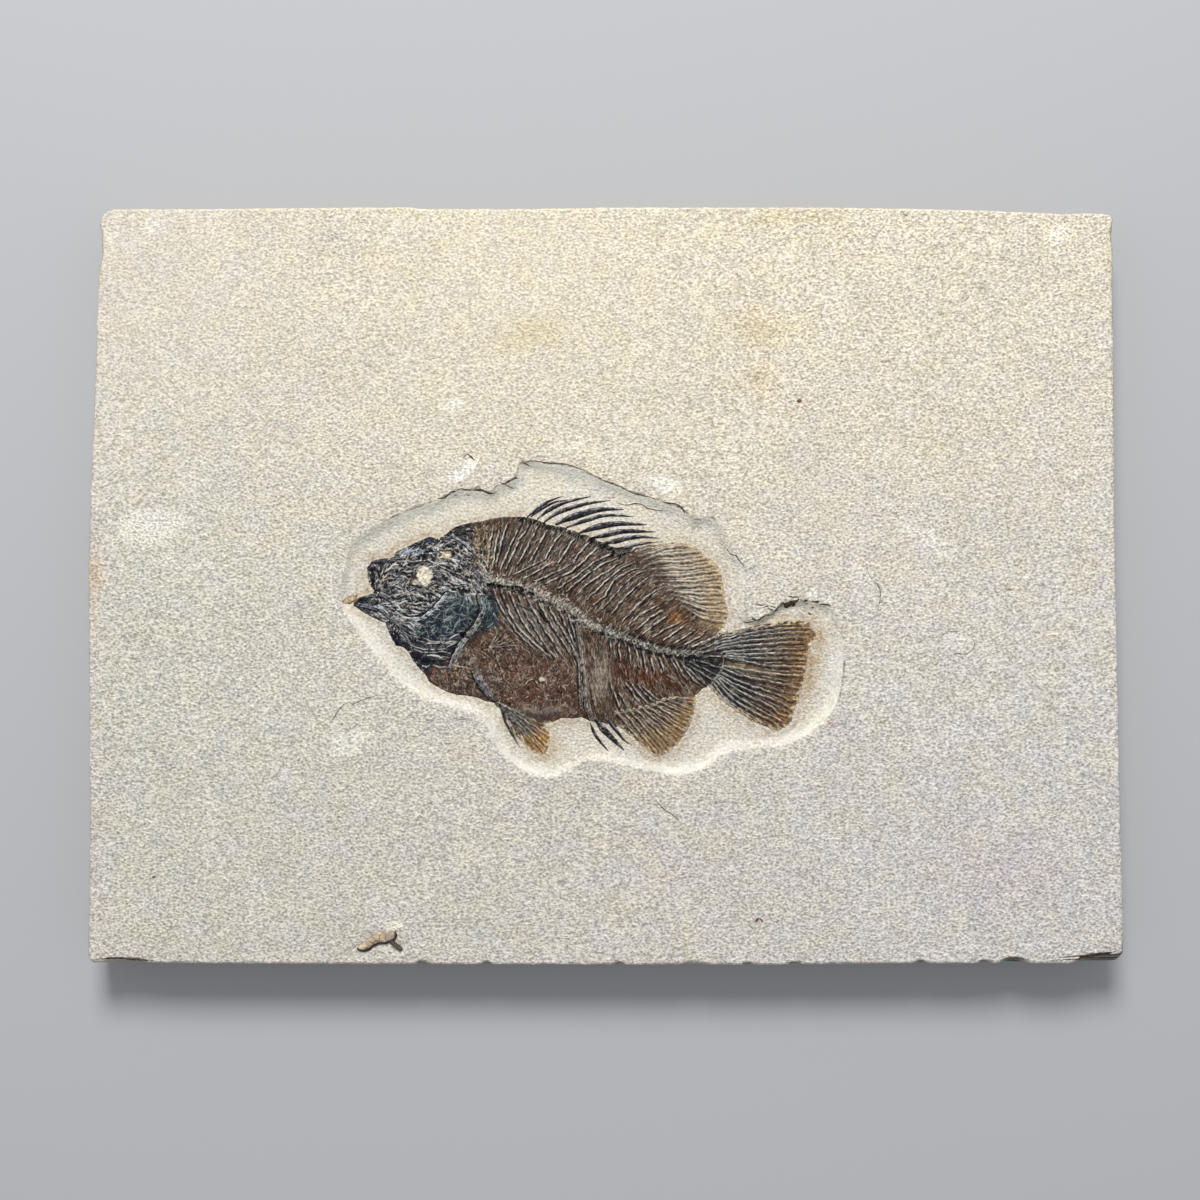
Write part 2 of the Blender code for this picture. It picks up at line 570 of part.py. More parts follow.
def backbone_heights():
    """Stations along the backbone: point, and how proud it stands there."""
    line = curve(BACKBONE, BACKBONE_STEPS)
    count = 2 * DRUMS
    stations = []
    for step in range(count + 1):
        place = step / count * (len(line) - 1)
        span = min(int(place), len(line) - 2)
        proud = DRUM_HEIGHT if step % 2 else DRUM_WAIST
        stations.append((mix(line[span], line[span + 1], place - span), proud))
    return stations


def fish_sketch(raised, backbone):
    """The fish's outline, spines and every raised line, ready to triangulate."""
    sketch = Sketch()
    sketch.add_outline(FISH_OUTLINE)
    for spine in SPINES:
        loop, centre = spine_outline(spine)
        sketch.add_outline(loop)
        sketch.add_line(centre)
    for half_width, _, line in raised:
        widths = [half_width] * len(line)
        widths[0] = widths[-1] = half_width * BONE_END
        sketch.add_line(line)
        sketch.add_line(offset(line, widths))
        sketch.add_line(offset(line, [-w for w in widths]))
    for per_gap, guides in FINS.values():
        rays = fan(per_gap, guides)
        for ray in rays:
            sketch.add_line(ray)
        for a, b in zip(rays, rays[1:]):
            sketch.add_line([mix(p, q, 0.5) for p, q in zip(a, b)])
    middle = [point for point, _ in backbone]
    sketch.add_line(middle)
    for side in (-1.0, 1.0):
        sketch.add_line(offset(middle, [side * DRUM_HALF_WIDTH] * len(middle)))
    sketch.add_line(GILL_COVER, closed=True)
    sketch.add_line(widened(GILL_COVER, -GILL_COVER_BEVEL), closed=True)
    for radius in (ORBIT_RADIUS - ORBIT_HALF_WIDTH, ORBIT_RADIUS, ORBIT_RADIUS + ORBIT_HALF_WIDTH):
        sketch.add_line([(ORBIT[0] + radius * math.cos(2 * math.pi * step / ORBIT_STEPS),
                          ORBIT[1] + radius * math.sin(2 * math.pi * step / ORBIT_STEPS))
                         for step in range(ORBIT_STEPS)], closed=True)
    steps = int(FISH_REACH / FISH_GRID)
    for column in range(-steps, steps + 1):
        for row in range(-steps, steps + 1):
            point = (column * FISH_GRID, row * FISH_GRID + (FISH_GRID / 2 if column % 2 else 0.0))
            if inside(point, FISH_OUTLINE) and near(point, FISH_OUTLINE, closed=True)[0] > FISH_GRID / 3:
                sketch.add_point(point)
    return sketch


def build_fish(material):
    """The fish: a low crowned body with bones, spines and rays standing proud of it."""
    raised = ridges()
    backbone = backbone_heights()
    middle = [point for point, _ in backbone]
    drums = [height for _, height in backbone]
    rays = [ray for per_gap, guides in FINS.values() for ray in fan(per_gap, guides)]
    spines = [(spine_outline(spine)[1], spine[3]) for spine in SPINES]

    def height(point):
        crown = FISH_EDGE
        if inside(point, FISH_OUTLINE):
            edge_gap = near(point, FISH_OUTLINE, closed=True)[0]
            crown += FISH_CROWN * math.sin(0.5 * math.pi * min(1.0, edge_gap / CROWN_REACH))
        proud = 0.0
        for half_width, rise, line in raised:
            gap = near(point, line)[0]
            proud = max(proud, rise * (1.0 - gap / half_width))
        for ray in rays:
            gap = near(point, ray)[0]
            proud = max(proud, RAY_HEIGHT * (1.0 - gap / RAY_HALF_WIDTH))
        for line, half_width in spines:
            gap = near(point, line)[0]
            proud = max(proud, SPINE_HEIGHT * (1.0 - gap / half_width))
        gap, span, share = near(point, middle)
        rise = drums[span] * (1.0 - share) + drums[min(span + 1, len(drums) - 1)] * share
        proud = max(proud, rise * (1.0 - gap / DRUM_HALF_WIDTH))
        if inside(point, GILL_COVER):
            edge_gap = near(point, GILL_COVER, closed=True)[0]
            proud = max(proud, GILL_COVER_HEIGHT * min(1.0, edge_gap / GILL_COVER_BEVEL))
        eye_gap = math.dist(point, ORBIT)
        proud = max(proud, ORBIT_HEIGHT * (1.0 - abs(eye_gap - ORBIT_RADIUS) / ORBIT_HALF_WIDTH))
        if eye_gap < ORBIT_RADIUS - ORBIT_HALF_WIDTH + WELD:
            proud = -EYE_SINK
        return FISH_BASE + crown + proud

    return relief("fossil_fish", fish_sketch(raised, backbone), height, FISH_BASE, material)


def build_coprolite(material):
    """The small brown lump: a low ridge with a forked end."""
    sketch = Sketch()
    sketch.add_outline(LUMP_OUTLINE)
    sketch.add_line(LUMP_SPINE)

    def height(point):
        rise = smooth(near(point, LUMP_OUTLINE, closed=True)[0] / LUMP_SLOPE)
        return THICKNESS - PIT_DEPTH + GAP + LUMP_EDGE + LUMP_HEIGHT * rise

    return relief("coprolite", sketch, height, THICKNESS - PIT_DEPTH + GAP, material)


def main():
    clear_scene()
    build_slab(make_material("limestone", (0.60, 0.56, 0.47), 0.9))
    build_fish(make_material("fossil_bone", (0.09, 0.055, 0.04), 0.55))
    build_coprolite(make_material("coprolite_brown", (0.22, 0.15, 0.10), 0.7))


main()
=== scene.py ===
"""Looks of a fossil fish slab: pale grained limestone, scraped down round a brown and blue-black fish.

Lengths are in millimetres and become metres as each mesh is made. +X runs from the snout to the tail,
+Y to the back fin and +Z out of the face. Colours are screen values from 0 to 255, made linear.
"""
import math

import bpy
import numpy as np
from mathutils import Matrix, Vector
from mathutils.geometry import delaunay_2d_cdt


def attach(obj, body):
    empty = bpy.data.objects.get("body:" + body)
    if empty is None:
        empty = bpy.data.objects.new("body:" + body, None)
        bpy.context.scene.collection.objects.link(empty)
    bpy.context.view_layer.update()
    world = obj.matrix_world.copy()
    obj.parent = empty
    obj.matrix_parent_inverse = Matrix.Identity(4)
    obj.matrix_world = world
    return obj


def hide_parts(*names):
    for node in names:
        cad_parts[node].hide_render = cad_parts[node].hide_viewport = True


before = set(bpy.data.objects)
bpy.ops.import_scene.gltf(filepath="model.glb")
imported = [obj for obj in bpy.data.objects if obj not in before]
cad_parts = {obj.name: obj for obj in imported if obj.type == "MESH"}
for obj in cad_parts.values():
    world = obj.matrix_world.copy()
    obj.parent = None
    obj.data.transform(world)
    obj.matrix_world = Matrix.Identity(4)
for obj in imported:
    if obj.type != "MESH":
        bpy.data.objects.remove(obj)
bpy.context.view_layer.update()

MM = 0.001

# Camera: straight above the slab, as far off as gives the photograph's framing
CAMERA_SPOT = (-1.6, -4.1)
CAMERA_RISE = 491.7       # above the slab's face
LENS, SENSOR = 50.0, 36.0

# Slab, as in the solids
THICKNESS = 18.0
TROUGH_DEPTH = 1.8        # to the film of stone that the fish lies in
CORNERS = [(-149.4, 111.5, 5.5), (150.2, 109.9, 2.6), (153, -111.6, 2.4), (-153, -111.3, 3)]
EDGES = [
    [(-120, 111.5), (-78, 112), (-57, 112), (-55, 111.6), (-28, 111.5), (5, 112), (68, 112), (110, 111.2),
     (136, 110), (142.5, 110.3)],
    [(149.8, 90), (150.2, 60), (150.5, 20), (151, -5), (151.6, -40), (152.2, -70), (153, -95)],
    [(143, -111.7), (120, -111.5), (83, -111.6), (45, -112), (-60, -111.8), (-115, -111.6), (-134, -111.4)],
    [(-152.5, -90), (-152.3, -70), (-152.6, -20), (-152.8, 3), (-152.2, 25), (-151.2, 48), (-150.3, 76),
     (-149.7, 92)],
]
TOP_BEVEL = 0.85
# Rings of points down the edge: height, and how far the ring stands back
LAYERS = [
    (17.75, 0.35), (17.25, 0.10), (16.2, 0.04), (15.2, 0.10), (14.3, 0.00), (14.05, 0.50), (12.9, 0.36),
    (11.8, 0.42), (10.9, 0.30), (10.65, 0.00), (9.4, 0.06), (8.3, 0.02), (7.2, 0.15), (6.95, 0.65),
    (5.7, 0.40), (4.5, 0.48), (3.5, 0.35), (3.25, 0.00), (2, 0.05), (0.8, 0.10), (0, 0.80),
]
EDGE_ROUGHNESS = 0.22
# Chips knocked off the rim: x, y, reach along the rim, reach in, reach down, how dark the painted shade in
# the break is
CHIPS = [(147, -110.5, 11, 2.6, 4.5, 1), (120.5, -111, 5, 1.6, 3, 1), (-142, -111, 9, 1.1, 2, 0.3),
         (-149.6, 100, 8, 0.9, 5, 0.2), (149.9, 104, 5, 0.8, 2.5, 0.2), (26, -111.5, 5, 0.8, 1.6, 0.3),
         (-54, -111.8, 2.5, 0.7, 1.2, 0.8), (-35, -111.8, 2, 0.6, 1, 0.8), (4, -111.9, 2.2, 0.6, 1, 0.8),
         (42, -111.9, 2, 0.6, 1, 0.8), (56, -111.8, 2.4, 0.7, 1.2, 0.8), (93, -111.6, 2.6, 0.7, 1.4, 0.8),
         (112, -111.5, 2.6, 0.8, 1.4, 0.8)]
FINE_SPACING, OPEN_SPACING = 0.75, 1.35     # between the face's points, near the fish and away from it
FINE_X, FINE_Y = (-81.0, 72.5), (-59.0, 38.5)
UNDER_SPACING = 7.0

# Trough's rim, clockwise from the snout, and the width of its wall
TROUGH_RIM = [
    (-78.4, -4.8, 2.4), (-77.4, 3, 3.2), (-74.8, 12, 3.6), (-68, 17.5, 4.2), (-60, 21.8, 4.6),
    (-50, 25.5, 4.6), (-45, 27.7, 4.2), (-39, 28.6, 4.2), (-34, 27.8, 3.8), (-31, 30.1, 3.8),
    (-26.5, 32, 3.6), (-25.2, 36.3, 3.6), (-18, 36.5, 4.4), (-10, 35.5, 4.6), (-3, 32.5, 4.4),
    (4, 29.5, 4.2), (12, 26.5, 4.2), (18, 24.6, 4.2), (22.8, 22.8, 3.8), (26.5, 19.6, 3.6), (31, 20.4, 4),
    (34, 17, 4), (38, 10.5, 4.2), (41, 5.5, 4.6), (41.6, -1.5, 4.8), (41, -7, 3.6), (43.5, -10, 1.6),
    (48, -8.3, 1.6), (52, -5.5, 2.2), (57, -4, 3), (62, -4.7, 3.4), (66.5, -5.7, 3.6), (69.5, -12, 3.6),
    (70.6, -20, 4), (70, -28, 4), (68, -36, 4), (61.5, -42.8, 3.6), (52.5, -47.2, 3.2), (45, -48.2, 3.2),
    (37, -48.9, 3.6), (31, -52.8, 3.6), (25, -55.4, 3.6), (18, -55.6, 3.2), (9, -53.6, 3.2),
    (0, -51.6, 2.4), (-6, -51.8, 2.4), (-12, -55.4, 3.4), (-18, -56.6, 3.8), (-25, -54.2, 3.4),
    (-31, -49.2, 3.2), (-35, -42, 3.2), (-38.5, -38.2, 3.4), (-46, -35.8, 3.2), (-54, -33, 3.6),
    (-61, -28.5, 4), (-67, -21.5, 3.6), (-72, -15, 3.2), (-76.5, -9, 2.2),
]
RIM_WANDER = 0.35

# Cracks, and painted shadow along the trough's rim and in chipped layers: half width in the middle, and route
CRACK_AND_SHADOW_LINES = [
    # along the upper left of the trough: painted shadow along the rim's lip
    (0.30, [(-49.5, 25.7), (-48.2, 26), (-46.8, 26.6), (-46, 27.3)]),
    (0.36, [(-46.2, 27.4), (-45.2, 27.7), (-44.3, 27.9)]),
    (0.17, [(-44.5, 27.9), (-43.5, 28.6), (-42, 28.6), (-40.6, 28.3), (-39.4, 28.3)]),
    (0.13, [(-45, 26.7), (-43.6, 27)]), (0.14, [(-41, 26.9), (-39.8, 26.9)]),
    (0.30, [(-39.2, 28.3), (-37.5, 28.3), (-36.3, 28.3), (-35.4, 27.8), (-34.2, 27.4), (-33.2, 27.4),
            (-32.4, 27.7)]),
    (0.13, [(-38.4, 28.7), (-37.8, 29.4), (-37, 29)]), (0.14, [(-33.2, 28.6), (-32.4, 29.3), (-31.6, 30)]),
    (0.28, [(-29.7, 30.1), (-28.7, 30.8), (-27.7, 31.4)]),
    (0.16, [(-27.8, 31.4), (-26.7, 31.9), (-25.8, 31.8)]),
    (0.22, [(-31.2, 30.6), (-30.4, 30.3), (-29.5, 30.1)]),
    (0.16, [(-29.6, 30), (-28.4, 29.4), (-27, 28.8)]),
    (0.18, [(-24.6, 36.3), (-23.6, 36.1), (-22.6, 35.6), (-21.8, 35.5)]),
    (0.14, [(-24, 36.3), (-22, 37), (-18, 36.5), (-13, 36), (-10, 35.5), (-6, 34)]),
    (0.13, [(-42, 37.6), (-41.4, 38.5), (-40.7, 38.9), (-39.8, 38.2), (-38.6, 37.1)]),
    # above the spines: mostly painted shadow along the rim's lip
    (0.10, [(-3, 32.5), (0, 31), (4, 29.5), (8, 27.5), (12, 26.5), (16, 25.5)]),
    (0.22, [(17, 25), (18, 24.6), (21, 24.1), (22.5, 23.1), (23.5, 21.2)]),
    (0.18, [(3.3, 24.7), (6, 24), (9, 24.4), (11, 24), (12.5, 23), (15, 22.5), (18, 22.3)]),
    (0.13, [(20, 19.5), (21.2, 19.1), (22.5, 18.4)]), (0.09, [(-5, 28.6), (-3.8, 28.5), (-2.5, 28.2)]),
    (0.09, [(0, 26.2), (2, 26.1), (3, 26.5)]),
    (0.13, [(33, 13), (35, 12), (37, 9.5), (38.5, 9), (39.5, 7.5), (41, 5.7)]),
    # above the tail: painted shadow along the ledge of the rim
    (0.20, [(40.6, -10.3), (42, -10.7), (43.5, -10.5), (44.3, -10.1)]),
    (0.20, [(43.2, -9.2), (43.9, -9.8), (44.6, -10.1)]),
    (0.25, [(44.2, -10.1), (45.2, -10), (46.5, -9.2), (47.6, -8.5), (48.8, -8.5), (49.8, -7.8)]),
    (0.22, [(49.7, -7.7), (50.4, -7), (51.2, -6.2), (52.2, -5.5)]),
    (0.66, [(51.4, -5.5), (52.6, -5.1), (53.8, -4.8), (55, -4.6), (56.2, -4.4), (57.2, -3.8)]),
    (0.18, [(53.6, -3.1), (55, -3.2), (56.8, -3.3), (57, -4)]),
    (0.20, [(44.2, -5.2), (45.6, -5.6), (47, -5.6)]), (0.17, [(46.4, -6.2), (47.2, -6), (48.2, -5.7)]),
    (0.18, [(48.6, -5.8), (49.6, -6.2), (50.4, -6.4)]), (0.18, [(48, -6.3), (48.6, -6.9), (49.4, -7.1)]),
    (0.30, [(58.4, -4.8), (59, -4.2), (59.7, -4.4)]), (0.15, [(58.9, -4.9), (59.6, -5.3), (60, -4.9)]),
    (0.24, [(60.8, -4.3), (62, -4.6), (62.9, -4.6), (62.4, -5.2)]),
    (0.17, [(63, -5.3), (64.5, -5.4), (66.5, -5.7)]), (0.22, [(60.8, -6.2), (61.7, -6.5)]),
    (0.26, [(60, -7.8), (60.6, -8.2), (61, -8.5)]),
    # elsewhere: cracks; the last two, at the lower right corner, are painted shadow in its chipped layers
    (0.13, [(-81, -40.5), (-79.6, -38), (-78.4, -36.2), (-76.6, -34.6)]),
    (0.10, [(-76.6, -34.6), (-75.6, -34.4), (-74.4, -34.9), (-73, -34.2), (-70, -33), (-66.6, -32)]),
    (0.10, [(-45, -39), (-42.5, -39.3), (-40, -39)]),
    (0.15, [(14.6, -63), (17, -65.6), (19.5, -67.2), (22, -69.6)]),
    (0.12, [(76.6, 7.7), (78, 3), (81, -1), (80.4, -7.7)]),
    (0.08, [(98, -16), (101, -13.5), (106, -13.8), (109, -17), (106.5, -20), (101.5, -19.4)]),
    (0.16, [(-150.6, -110.2), (-145, -109.6), (-139, -110), (-133, -110.5)]),
    (0.20, [(134, -109.6), (138, -109.2), (142, -108.9), (146, -108.3), (150, -107.9), (151.6, -107.3)]),
    (0.14, [(131, -110.4), (136, -110.2), (140, -109.9), (143, -109.3)]),
]
# The dark lines of painted shadow are built the same way as the cracks
CRACK_STAND = 0.09        # how far a crack's dark line stands above the stone
CRACK_ROOT = 0.14         # how far its hidden edges reach down into the stone

# Thin scales and fresh bruises on the face: x, y, half length, half width, turn in degrees, rise, whiteness
SCALES = [
    (-134.5, 16.8, 10.5, 6.2, 8, 0.30, 0.46), (-44.4, 53.4, 3.6, 2.4, 20, -0.22, 0.50),
    (-41.5, 34.6, 5.6, 2.6, 40, -0.15, 0.75), (17, 30.4, 6, 2.6, -20, -0.12, 0.62),
    (82.4, 25.4, 4.2, 2.2, -30, -0.15, 0.40), (104, -16.5, 4.8, 3, 10, 0.12, 0.34),
    (-133.5, 106, 4, 2.6, 0, 0, 0.36), (133.5, 103.5, 4, 3, 30, 0, 0.50), (-75, -46, 8, 4, 20, -0.10, 0.38),
    (61, -2.4, 2.2, 1.3, 0, 0, 0.80), (65.4, -4.2, 1.8, 1.4, 0, 0, 0.65),
    (95, 14, 10, 3.4, -35, -0.12, 0.34), (-10, 42, 6, 2, 10, -0.10, 0.30), (76, 2, 7, 2.6, -55, 0.10, 0.22),
    (-128, 6.5, 9, 2, -4, 0.12, 0.20),
]

# Spots and stains: x, y, half length, half width, turn, colour, strength, softness
STAINS = [
    (87, -102, 1.6, 1.2, 0, (176, 166, 162), 0.6, 0.8), (-150.5, 3, 4.4, 13, 0, (210, 184, 152), 0.60, 1),
    (-22, 74, 22, 9, 8, (222, 206, 164), 0.45, 1), (45.6, 75.5, 14, 10, -20, (224, 204, 158), 0.45, 1),
    (54, 109, 26, 4, 0, (228, 212, 172), 0.5, 1), (45.6, 60.8, 8, 8, 0, (222, 200, 154), 0.4, 1),
    (-62.6, -100.4, 3.4, 2, 15, (255, 252, 236), 1, 0.5), (116, -84, 34, 22, 0, (214, 202, 204), 0.35, 1),
    (30, -85, 45, 14, 0, (212, 204, 200), 0.3, 1), (100, 40, 24, 30, 0, (226, 216, 190), 0.3, 1),
    (-82, 68, 28, 20, 0, (220, 212, 196), 0.3, 1), (24, -105, 1.2, 10, 0, (226, 218, 200), 0.4, 0.9),
]

# Fish's silhouette without its free spines, clockwise from under the snout
SILHOUETTE = [
    (-68.3, -1.6), (-69, -0.7), (-70, 1), (-70.5, 3), (-70.6, 5.5), (-69, 7.6), (-66, 8.3), (-63.5, 8.3),
    (-62, 10.3), (-58, 12), (-55, 13.5), (-52, 14.8), (-50, 14), (-48, 14.8), (-46, 16.5), (-44, 17.8),
    (-40, 18.8), (-37, 19.2), (-34, 20), (-30, 20.5), (-24, 20.6), (-20, 19.6), (-17, 18.3), (-12, 17.4),
    (-9, 16.3), (-5, 15), (-2, 13.4), (1.5, 12), (4, 11), (8, 11.2), (12, 12.2), (15, 12.7), (19, 13.2),
    (24, 13), (27, 12), (29, 10), (31, 8.5), (33.5, 6.5), (34.8, 3), (35.5, -2), (36, -5), (36.8, -8.5),
    (35.5, -12.5), (34, -13.3), (38, -12.8), (42, -11.8), (47, -10.8), (52, -10), (57, -9.8), (60.5, -10),
    (61.5, -11.5), (62.5, -13.5), (63, -15), (61.5, -16.5), (60.5, -19), (60, -23), (59.5, -27),
    (58.5, -30), (57.5, -34), (56, -37.5), (55.5, -40), (54, -41.5), (52, -43), (50, -43), (47, -41.8),
    (44, -40.5), (40, -38.2), (36, -35.5), (33, -33), (30.3, -29.8), (28.5, -30.5), (27, -32.5), (27, -35),
    (26.5, -38), (25.5, -41), (23.5, -44.5), (21.5, -47), (19.5, -49), (17, -50.5), (15, -51), (13, -49.8),
    (11.2, -48), (9.6, -46.6), (6.5, -43.8), (3, -41.4), (-1, -40.4), (-4.5, -40), (-7, -38.8),
    (-10, -39.3), (-13, -39), (-15, -40), (-17.5, -41), (-16.3, -43), (-16, -45.5), (-16.5, -48),
    (-17.5, -49.8), (-19, -50.4), (-21, -49.7), (-23, -48.3), (-25, -46.5), (-28, -43), (-29.3, -40.5),
    (-31, -37.5), (-33, -34.5), (-36, -34), (-38, -33), (-41, -32.5), (-44, -32.2), (-46.5, -31.5),
    (-49.5, -30), (-52, -28.5), (-53.5, -26), (-55.5, -24), (-57, -22), (-58.5, -19.3), (-60, -18),
    (-62, -17.7), (-63, -16), (-64, -14), (-64.8, -12.3), (-65.5, -11), (-67.5, -10), (-69.5, -9),
    (-72, -7.5), (-74.5, -5.8), (-74.8, -4.6), (-73, -3.4), (-71, -2.8),
]
FISH_SPACING = 0.165      # between the fish's points
FISH_PARTS = [("fossil_fish_head", -90, -26), ("fossil_fish_trunk", -26, 8), ("fossil_fish_tail", 8, 90)]
FISH_MARGIN = 0.55        # how far its sheet runs on under the stone
FILM = 0.14               # thickness of bone at the silhouette
CROWN, CROWN_REACH = 0.75, 13.0
SINK = 0.42               # how far the sheet dips under the stone beyond the silhouette
FISH_BASE = 15.2

# Free spines, from root to tip, with half the width at the root
FREE_SPINES = [(0.50, [(-23, 20.6), (-20, 23), (-17, 25), (-12.8, 26.6)]),
               (0.42, [(-22, 20.6), (-18.4, 23.2), (-14.5, 25), (-11, 25.6)]),
               (0.58, [(-20, 20), (-16.6, 22.6), (-12, 24.8), (-8, 25.8), (-4.3, 26.6)]),
               (0.62, [(-18, 19), (-14.5, 21.5), (-10, 23.2), (-5, 24.5), (-1, 25.1), (1.5, 25.4)]),
               (0.98, [(-14.5, 18.4), (-11.5, 19.8), (-8, 21), (-4, 22.2), (0, 22.8), (5.3, 22.8)]),
               (0.60, [(-11.5, 17.4), (-8, 18.7), (-5, 19.7), (-1, 20.8), (3, 21), (8.5, 20.5)]),
               (0.88, [(-7.5, 15.8), (-3.5, 17.2), (0, 18), (4, 18.5), (8, 18.4), (12.3, 18.2)]),
               (0.78, [(-4, 14.2), (0, 15.1), (3, 15.9), (7, 16.3), (11, 16.2), (14.8, 16.1)]),
               (0.74, [(-1, 12.6), (3, 13.3), (6, 14.1), (10, 14.6), (13, 14.5), (16, 14.2)]),
               (0.52, [(2.5, 11.2), (5.5, 11.3), (9, 12.2), (13, 12.9), (17, 13.2)]),
               (0.48, [(-4.5, -40.5), (-3.5, -43), (-2, -45.5), (1, -49)]),
               (0.95, [(-3, -39.5), (-0.5, -42.5), (1.5, -44.5), (5.5, -48.5)]),
               (0.55, [(0, -39), (3, -42.5), (5.5, -45.5), (8, -47.2)]),
               (0.60, [(-31, -35), (-29.5, -40), (-27.5, -44), (-25.3, -47.7)]),
               (0.26, [(5, 9.7), (8, 10.5), (12, 11.8), (16, 12)])]


def tone(red, green, blue):
    """A screen colour made linear."""
    share = np.array([red, green, blue]) / 255.0
    return np.where(share <= 0.04045, share / 12.92, ((share + 0.055) / 1.055) ** 2.4)


def opaque(red, green, blue):
    """A screen colour made linear, for a colour socket."""
    return (*tone(red, green, blue), 1.0)


def smooth(share):
    """Ease from 0 to 1."""
    share = np.clip(share, 0.0, 1.0)
    return share * share * (3.0 - 2.0 * share)


class Noise:
    """Seeded gradient noise over the plane, about -1 to 1."""

    def __init__(self, seed):
        random = np.random.default_rng(seed)
        self.order = random.permutation(256)
        angle = random.random(256) * 2.0 * np.pi
        self.slope_x, self.slope_y = np.cos(angle), np.sin(angle)

    def at(self, x, y):
        """One layer of noise with cells of size 1."""
        column, row = np.floor(x).astype(int), np.floor(y).astype(int)
        across, up = x - column, y - row
        ease_x = across ** 3 * (across * (across * 6.0 - 15.0) + 10.0)
        ease_y = up ** 3 * (up * (up * 6.0 - 15.0) + 10.0)

        def corner(i, j):
            pick = self.order[(self.order[(column + i) & 255] + row + j) & 255]
            return self.slope_x[pick] * (across - i) + self.slope_y[pick] * (up - j)

        low = corner(0, 0) * (1.0 - ease_x) + corner(1, 0) * ease_x
        high = corner(0, 1) * (1.0 - ease_x) + corner(1, 1) * ease_x
        return 1.5 * (low * (1.0 - ease_y) + high * ease_y)

    def layers(self, x, y, size, count=3):
        """Layers of noise, each half the size and strength of the one before."""
        total, weight, sum_of_weights = 0.0, 1.0, 0.0
        for layer in range(count):
            finer = 2.0 ** layer / size
            total = total + weight * self.at(x * finer + 17.3 * layer, y * finer - 9.1 * layer)
            sum_of_weights += weight
            weight *= 0.5
        return total / sum_of_weights


def curve(points, spacing=0.8, closed=False):
    """Points a spacing apart, at most, on a smooth curve through the given ones."""
    given = np.array(points, dtype=float)
    if closed:
        padded = np.vstack([given[-1], given, given[0], given[1]])
    else:
        padded = np.vstack([given[0], given, given[-1]])
    out = []
    for before, a, b, after in zip(padded, padded[1:], padded[2:], padded[3:]):
        steps = max(1, math.ceil(math.dist(a[:2], b[:2]) / spacing))
        for t in np.arange(steps) / steps:
            out.append(0.5 * (2 * a + (b - before) * t + (2 * before - 5 * a + 4 * b - after) * t * t
                              + (3 * a - before - 3 * b + after) * t ** 3))
    if not closed:
        out.append(given[-1])
    return np.array(out)


def along(x, y, line, reach):
    """The points within reach of a line: their numbers, signed distance and share of the way.

    The distance is positive on the left of the way.
    """
    low, high = line[:, :2].min(axis=0) - reach, line[:, :2].max(axis=0) + reach
    hit = np.nonzero((x > low[0]) & (x < high[0]) & (y > low[1]) & (y < high[1]))[0]
    px, py = x[hit], y[hit]
    gap, share = np.full(hit.size, 1e9), np.zeros(hit.size)
    side = np.ones(hit.size)
    lengths = np.hypot(*np.diff(line[:, :2], axis=0).T)
    starts = np.concatenate([[0.0], np.cumsum(lengths)])
    for a, b, length, start in zip(line, line[1:], lengths, starts):
        dx, dy = (b[0] - a[0]) / length, (b[1] - a[1]) / length
        way = np.clip((px - a[0]) * dx + (py - a[1]) * dy, 0.0, length)
        off_x, off_y = px - a[0] - way * dx, py - a[1] - way * dy
        distance = np.hypot(off_x, off_y)
        closer = distance < gap
        gap = np.where(closer, distance, gap)
        side = np.where(closer, np.where(dx * off_y - dy * off_x >= 0.0, 1.0, -1.0), side)
        share = np.where(closer, (start + way) / starts[-1], share)
    near = gap < reach
    return hit[near], (gap * side)[near], share[near]


def enclosed(x, y, loop):
    """Whether each point is inside a closed loop."""
    found = np.zeros(x.shape, dtype=bool)
    for a, b in zip(loop, np.roll(loop, -1, axis=0)):
        if a[1] != b[1]:
            crosses = (a[1] > y) != (b[1] > y)
            found ^= crosses & (x < a[0] + (y - a[1]) * (b[0] - a[0]) / (b[1] - a[1]))
    return found


def depth_inside(x, y, loop, reach):
    """Distance in from a closed loop (negative outside), no further than reach."""
    ring = np.vstack([loop, loop[:1]])
    distance = np.full(x.shape, reach)
    hit, gap, _ = along(x, y, ring, reach)
    distance[hit] = np.abs(gap)
    return np.where(enclosed(x, y, loop), distance, -distance)


RAGGED = Noise(5)
EVERY = slice(None)       # all points of a skin


